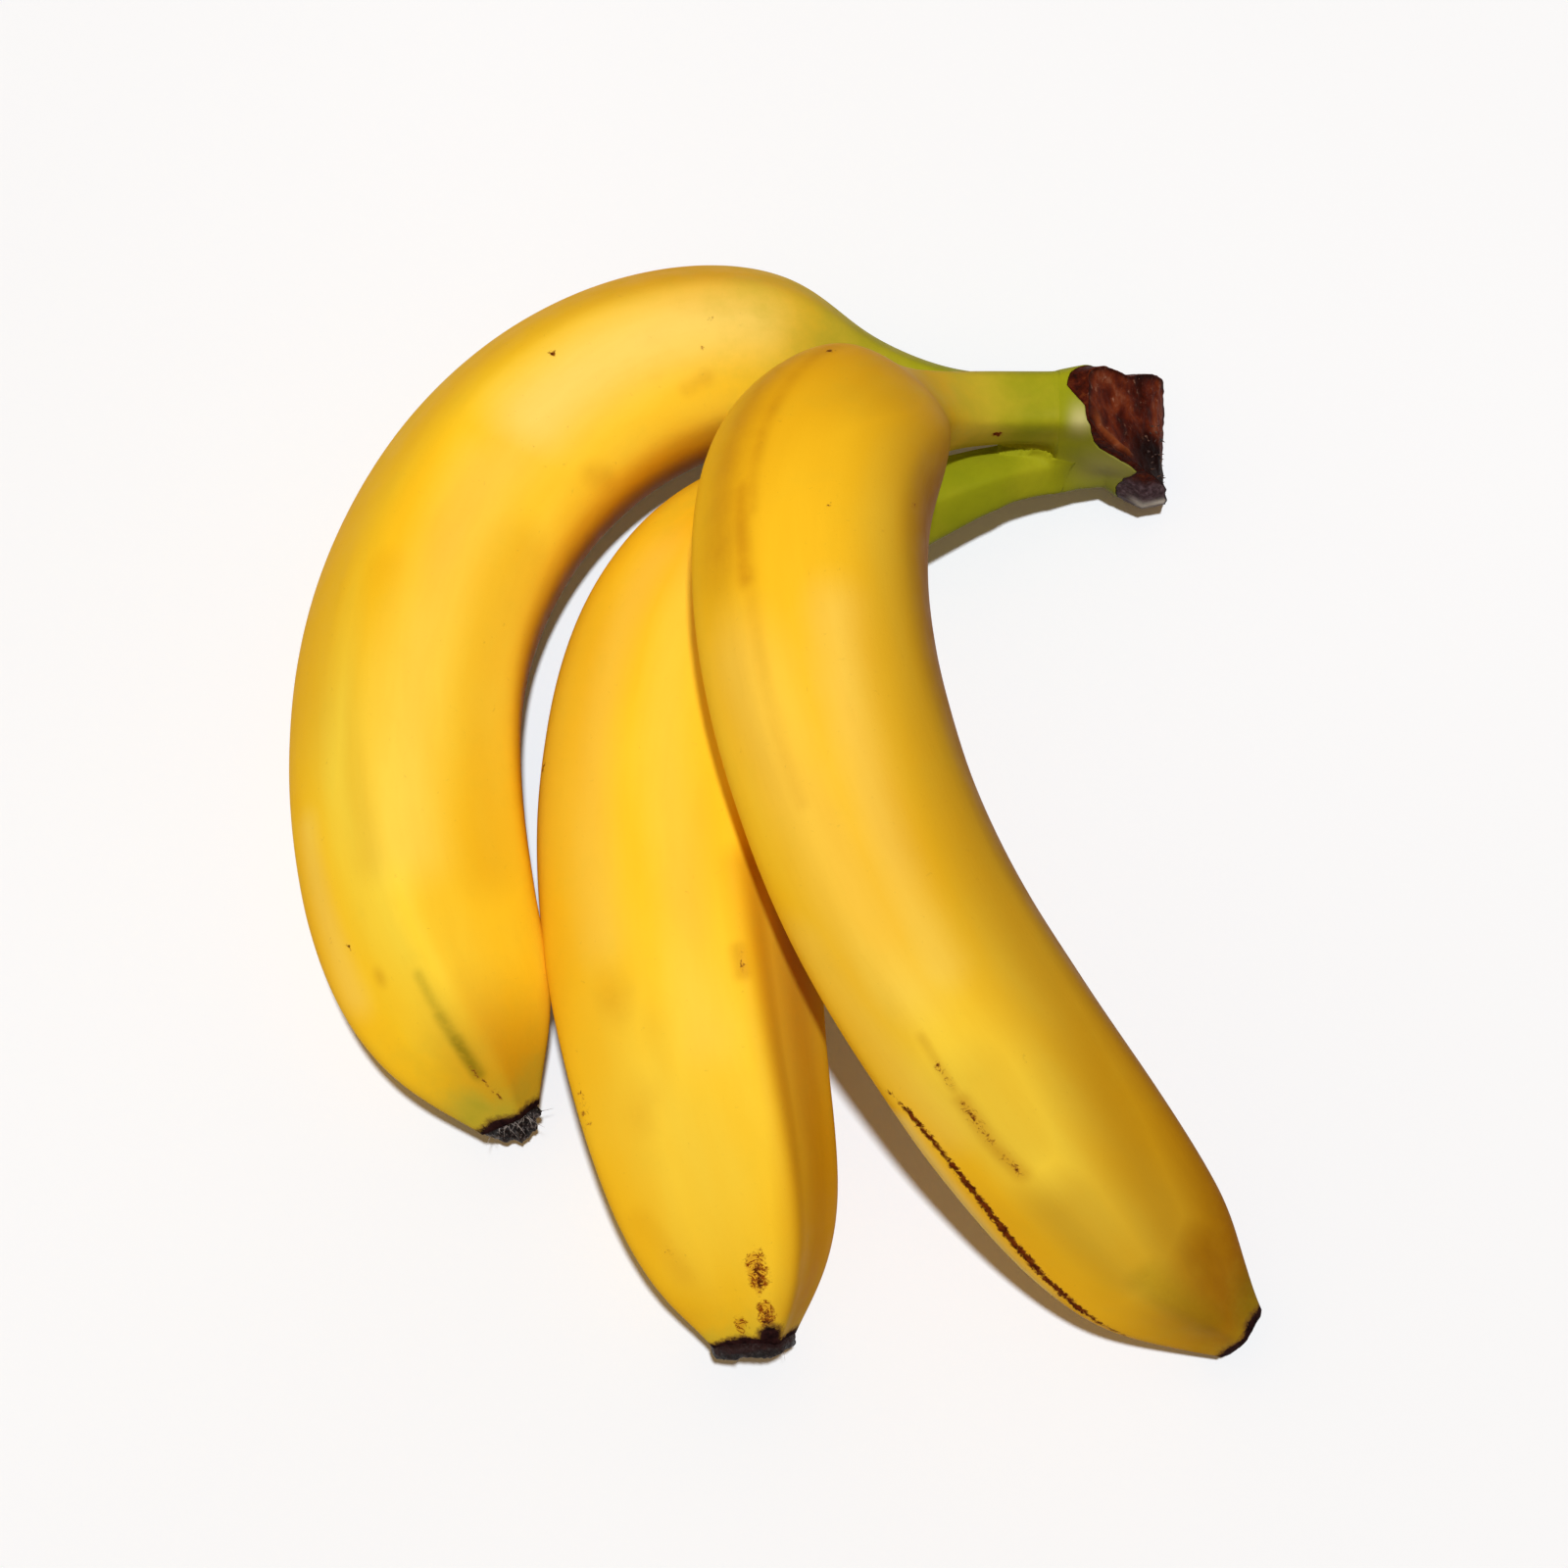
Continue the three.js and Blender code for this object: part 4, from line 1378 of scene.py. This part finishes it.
RIGHT = Banana(
    stump=Stump.RIGHT,
    spine=((45, 58.9, 22.3), (33, 58.9, 22.6), (25, 57.3, 25.8), (18.4, 52.9, 34.4), (11.4, 46.1, 44),
           (6.2, 37.6, 51), (4.3, 27, 54.5), (4.8, 12.5, 55), (8.6, -5, 51.5), (16.4, -23.8, 44.3),
           (30, -42.8, 33), (44, -59, 20.6), (55.8, -71.6, 11.1), (67.4, -79.9, 5.5)),
    girth=((0, 5.1), (0.06, 5.1), (0.12, 5.6), (0.17, 8), (0.21, 14.5), (0.27, 17.2), (0.37, 17.1),
           (0.51, 17.1), (0.67, 17.2), (0.8, 17), (0.9, 14.4), (0.95, 9.8), (0.985, 6), (1, 4.6)),
    ridges=((0, -42, 45, 80, 150, 235), (0.25, -42, 42, 78, 150, 235), (0.5, -42, 33, 72, 150, 235),
            (0.75, -46, 27, 78, 152, 232), (1, -50, 20, 80, 155, 230)),
    relief=((0, 0.22), (0.2, 0.1), (0.5, 0.1), (0.8, 0.12), (0.92, 0.25), (1, 0.3)),
    faced=((0, 0.1), (0.3, 0.25), (0.6, 0.3), (0.85, 0.4), (0.95, 0.5), (1, 0.4)),
    crests=((0, 0.02, 0.02, 0.02, 0.02, 0.02), (0.22, 0.01, 0.025, 0.01, 0.01, 0.01),
            (0.36, 0, 0.022, 0.01, 0, 0), (0.5, 0, 0.008, 0.012, 0, 0),
            (0.72, 0.005, 0.014, 0.022, 0.005, 0.005),
            (0.93, 0.03, 0.03, 0.04, 0.03, 0.03), (1, 0.04, 0.04, 0.04, 0.04, 0.04)),
    green=((0, 0.95), (0.04, 0.82), (0.08, 0.52), (0.12, 0.35), (0.2, 0.08), (0.3, 0), (0.93, 0),
           (0.97, 0.05), (1, 0.2)),
    marks=(
        Mark("brown", ((0.236, 35),), 1.1, 0.85),
        Mark("bruise", ((0.23, 38), (0.285, 33), (0.34, 32)), 1.9, 0.45),
        Mark("bruise", ((0.26, 46), (0.3, 46), (0.36, 46)), 6.5, 0.4),
        Mark("bruise", ((0.33, 36), (0.355, 35), (0.375, 34)), 2.3, 0.6),
        Mark("bruise", ((0.3, 33), (0.4, 32), (0.5, 32)), 1.7, 0.2),
        Mark("brown", ((0.683, 71), (0.7, 67)), 0.8, 0.62),
        Mark("brown", ((0.7, 67), (0.73, 65.5), (0.765, 65)), 1.1, 0.95),
        Mark("brown", ((0.76, 65), (0.8, 66.5), (0.845, 69)), 1.15, 1.15),
        Mark("brown", ((0.845, 69), (0.88, 71), (0.9, 73)), 1.1, 1.0),
        Mark("brown", ((0.895, 73), (0.915, 75), (0.93, 77)), 0.7, 0.7),
        Mark("bruise", ((0.655, 34), (0.672, 35), (0.695, 36)), 1.3, 0.35),
        Mark("brown", ((0.674, 35), (0.69, 36)), 1.0, 0.52),
        Mark("brown", ((0.707, 36), (0.722, 37), (0.738, 37)), 1.2, 0.54),
        Mark("brown", ((0.751, 36), (0.767, 35)), 1.2, 0.53),
        Mark("bruise", ((0.705, 36), (0.74, 37), (0.768, 35)), 2.4, 0.5),
        Mark("brown", ((0.338, -6),), 0.8, 0.75),
        Mark("brown", ((0.324, -51),), 0.8, 0.7),
        Mark("brown", ((0.065, -72), (0.068, -72)), 1.0, 1.3),
        Mark("brown", ((0.078, 52), (0.095, 55)), 0.7, 0.55),
        # The light marks below are painted highlights; the shade marks are painted shade where the peel
        # turns from the lamp, partly also its own deeper orange.
        Mark("shade", ((0.22, -80), (0.5, -82), (0.8, -72), (1, -55)), 26, 1.0),
        Mark("shade", ((0.35, -52), (0.5, -46), (0.7, -36), (0.86, -12), (0.93, 2)), 16, 0.62),
        Mark("shade", ((0.92, -18), (1, 5)), 21, 0.9),
        Mark("shade", ((0.18, 0), (0.24, -20)), 16, 0.4),
        Mark("shade", ((0.22, 52), (0.36, 56)), 10, 0.2),
        Mark("shade", ((0.7, 24), (0.75, 24)), 9, 0.2),
        Mark("shade", ((0.81, 27), (0.88, 21)), 11.5, 0.45),
        Mark("light", ((0.42, 42), (0.52, 30), (0.62, 30)), 10, 0.18),
        Mark("light", ((0.4, -6), (0.5, 0), (0.62, 10)), 7, 0.2),
        Mark("light", ((0.58, 60), (0.72, 55)), 7, 0.12),
        Mark("light", ((0.71, 77), (0.78, 79), (0.87, 83)), 3.4, 0.55),
        Mark("olive", ((0.985, -40), (1, -30)), 9, 0.5),
        Mark("olive", ((0.89, 22), (0.965, 20)), 4, 0.3),
    ),
    finish=PeelFinish("peel_right", "E6A20E", "FBC020", "FFD640", "965C02"),
    seed=37,
)


@dataclass(frozen=True)
class Bunch:
    """The whole bunch: three bananas, their crown and the dried flower remains."""

    bananas: tuple[Banana, ...] = (LEFT, MIDDLE, RIGHT)

    def shift(self) -> Array:
        """What takes table millimetres into the frame: the solid stalks end at one plane in x,
        the left banana's highest y is the same in both, and the table is height 0.

        Returns:
            The shift in mm.
        """
        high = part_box("banana_left")[1]
        fraction, angle = np.linspace(0, 1, SEARCH[0]), np.linspace(0, 2 * np.pi, SEARCH[1])
        centre, side, top, _, _ = LEFT.axes(fraction)
        at, turn = np.meshgrid(fraction, angle, indexing="ij")
        out = outwards(side[:, None], top[:, None], turn)
        plain = replace(LEFT, crests=((0, 0), (1, 0)), faced=((0, 0), (1, 0)))
        points = centre[:, None] + out * plain.section(at, turn)[..., None]
        return np.array([high.x / MM - STALK_END, high.y / MM - points[..., 1].max(), -TABLE_HEIGHT])

    def field(self) -> StalkField:
        """The merging stalks."""
        stumps = {
            Stump.RIGHT: ((46, 59, 22.6, 5.8), (51, 59, 23, 6.2), (62, 58.8, 23.4, 6.4)),
            Stump.LEFT: ((46, 63, 13.2, 4.9), (51, 62.4, 13, 5.2), (58, 62.1, 12.6, 5.8),
                         (62, 62, 12.4, 5.8)),
            Stump.MIDDLE: ((46, 55.4, 9, 4.3), (50, 56.2, 7.9, 4.4), (53, 55.4, 7.2, 5.7),
                           (56, 54.6, 6.9, 6.4), (60, 55.1, 6.8, 6.1)),
        }
        return StalkField(self.bananas, stumps)

    def blossoms(self) -> tuple[BlossomEnd, ...]:
        """The three dried flower remains."""
        left = ((-180, 4.8), (-120, 3.2), (-60, 0.7), (-20, 0.3), (40, 0.3), (90, 0.6), (130, 2.4),
                (180, 4.8))
        middle = ((-180, 2.8), (-60, 1.6), (-25, 2.1), (0, 1.4), (90, 1.6), (180, 2.8))
        right = ((-180, 0.9), (-60, 0.5), (0, 0.35), (70, 0.5), (180, 0.9))
        return (
            BlossomEnd(LEFT, 4.1, left, nub=1.2, lint=1.0, fibres=44, rough=1.0, seed=61),
            BlossomEnd(MIDDLE, 5.8, middle, nub=0.6, lint=0.4, fibres=6, rough=0.8, seed=71),
            BlossomEnd(RIGHT, 4.2, right, nub=0.1, lint=0.2, fibres=0, rough=0.3, seed=81),
        )

    def settle(self, piece: bpy.types.Object, slot: Slot, material: bpy.types.Material, *nodes: str) -> None:
        """Dresses a piece, sets it on the bunch's one body and reports it.

        Args:
            piece: the piece.
            slot: the record's slot; not used.
            material: its finish.
            *nodes: the solids that it stands for.
        """
        piece.data.materials.append(material)
        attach(piece, "root")
        if nodes:
            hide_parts(*nodes)
        LOG.info("%s: %d faces", piece.name, len(piece.data.polygons))

    def build(self) -> None:
        """Builds and dresses every piece."""
        shift = self.shift()
        LOG.info("shift %s", shift.round(3).tolist())
        field = self.field()
        for banana in self.bananas:
            peel = banana.surface(field).build(shift)
            self.settle(peel, Slot.PEEL, banana.finish.make(), f"banana_{banana.stump.value}")
        crown = Crown(field)
        self.settle(crown.surface().build(shift), Slot.CROWN, CrownFinish("crown_skin").make(), "crown")
        fibre = FibreFinish("torn_fibre", "1A0804", "54301C").make()
        self.settle(crown.bristles(shift), Slot.CROWN, fibre)
        lint = FibreFinish("dead_fibre", "5C4F4A", "B8ADA4").make()
        for blossom in self.blossoms():
            stump = blossom.banana.stump.value
            crust = CrustFinish(f"crust_{stump}", blossom.lint).make()
            self.settle(blossom.surface().build(shift), Slot.FLOWER, crust, f"blossom_end_{stump}")
            if blossom.fibres:
                self.settle(blossom.threads(shift), Slot.FLOWER, lint)


def main() -> None:
    """Builds the stage and the bunch."""
    logging.basicConfig(level=logging.INFO, format="%(name)s: %(message)s")
    bunch = Bunch()
    aim = bunch.shift() + LOOKED_AT
    Stage((float(aim[0]), float(aim[1]), float(aim[2]))).build()
    bunch.build()


if __name__ == "__main__":
    main()
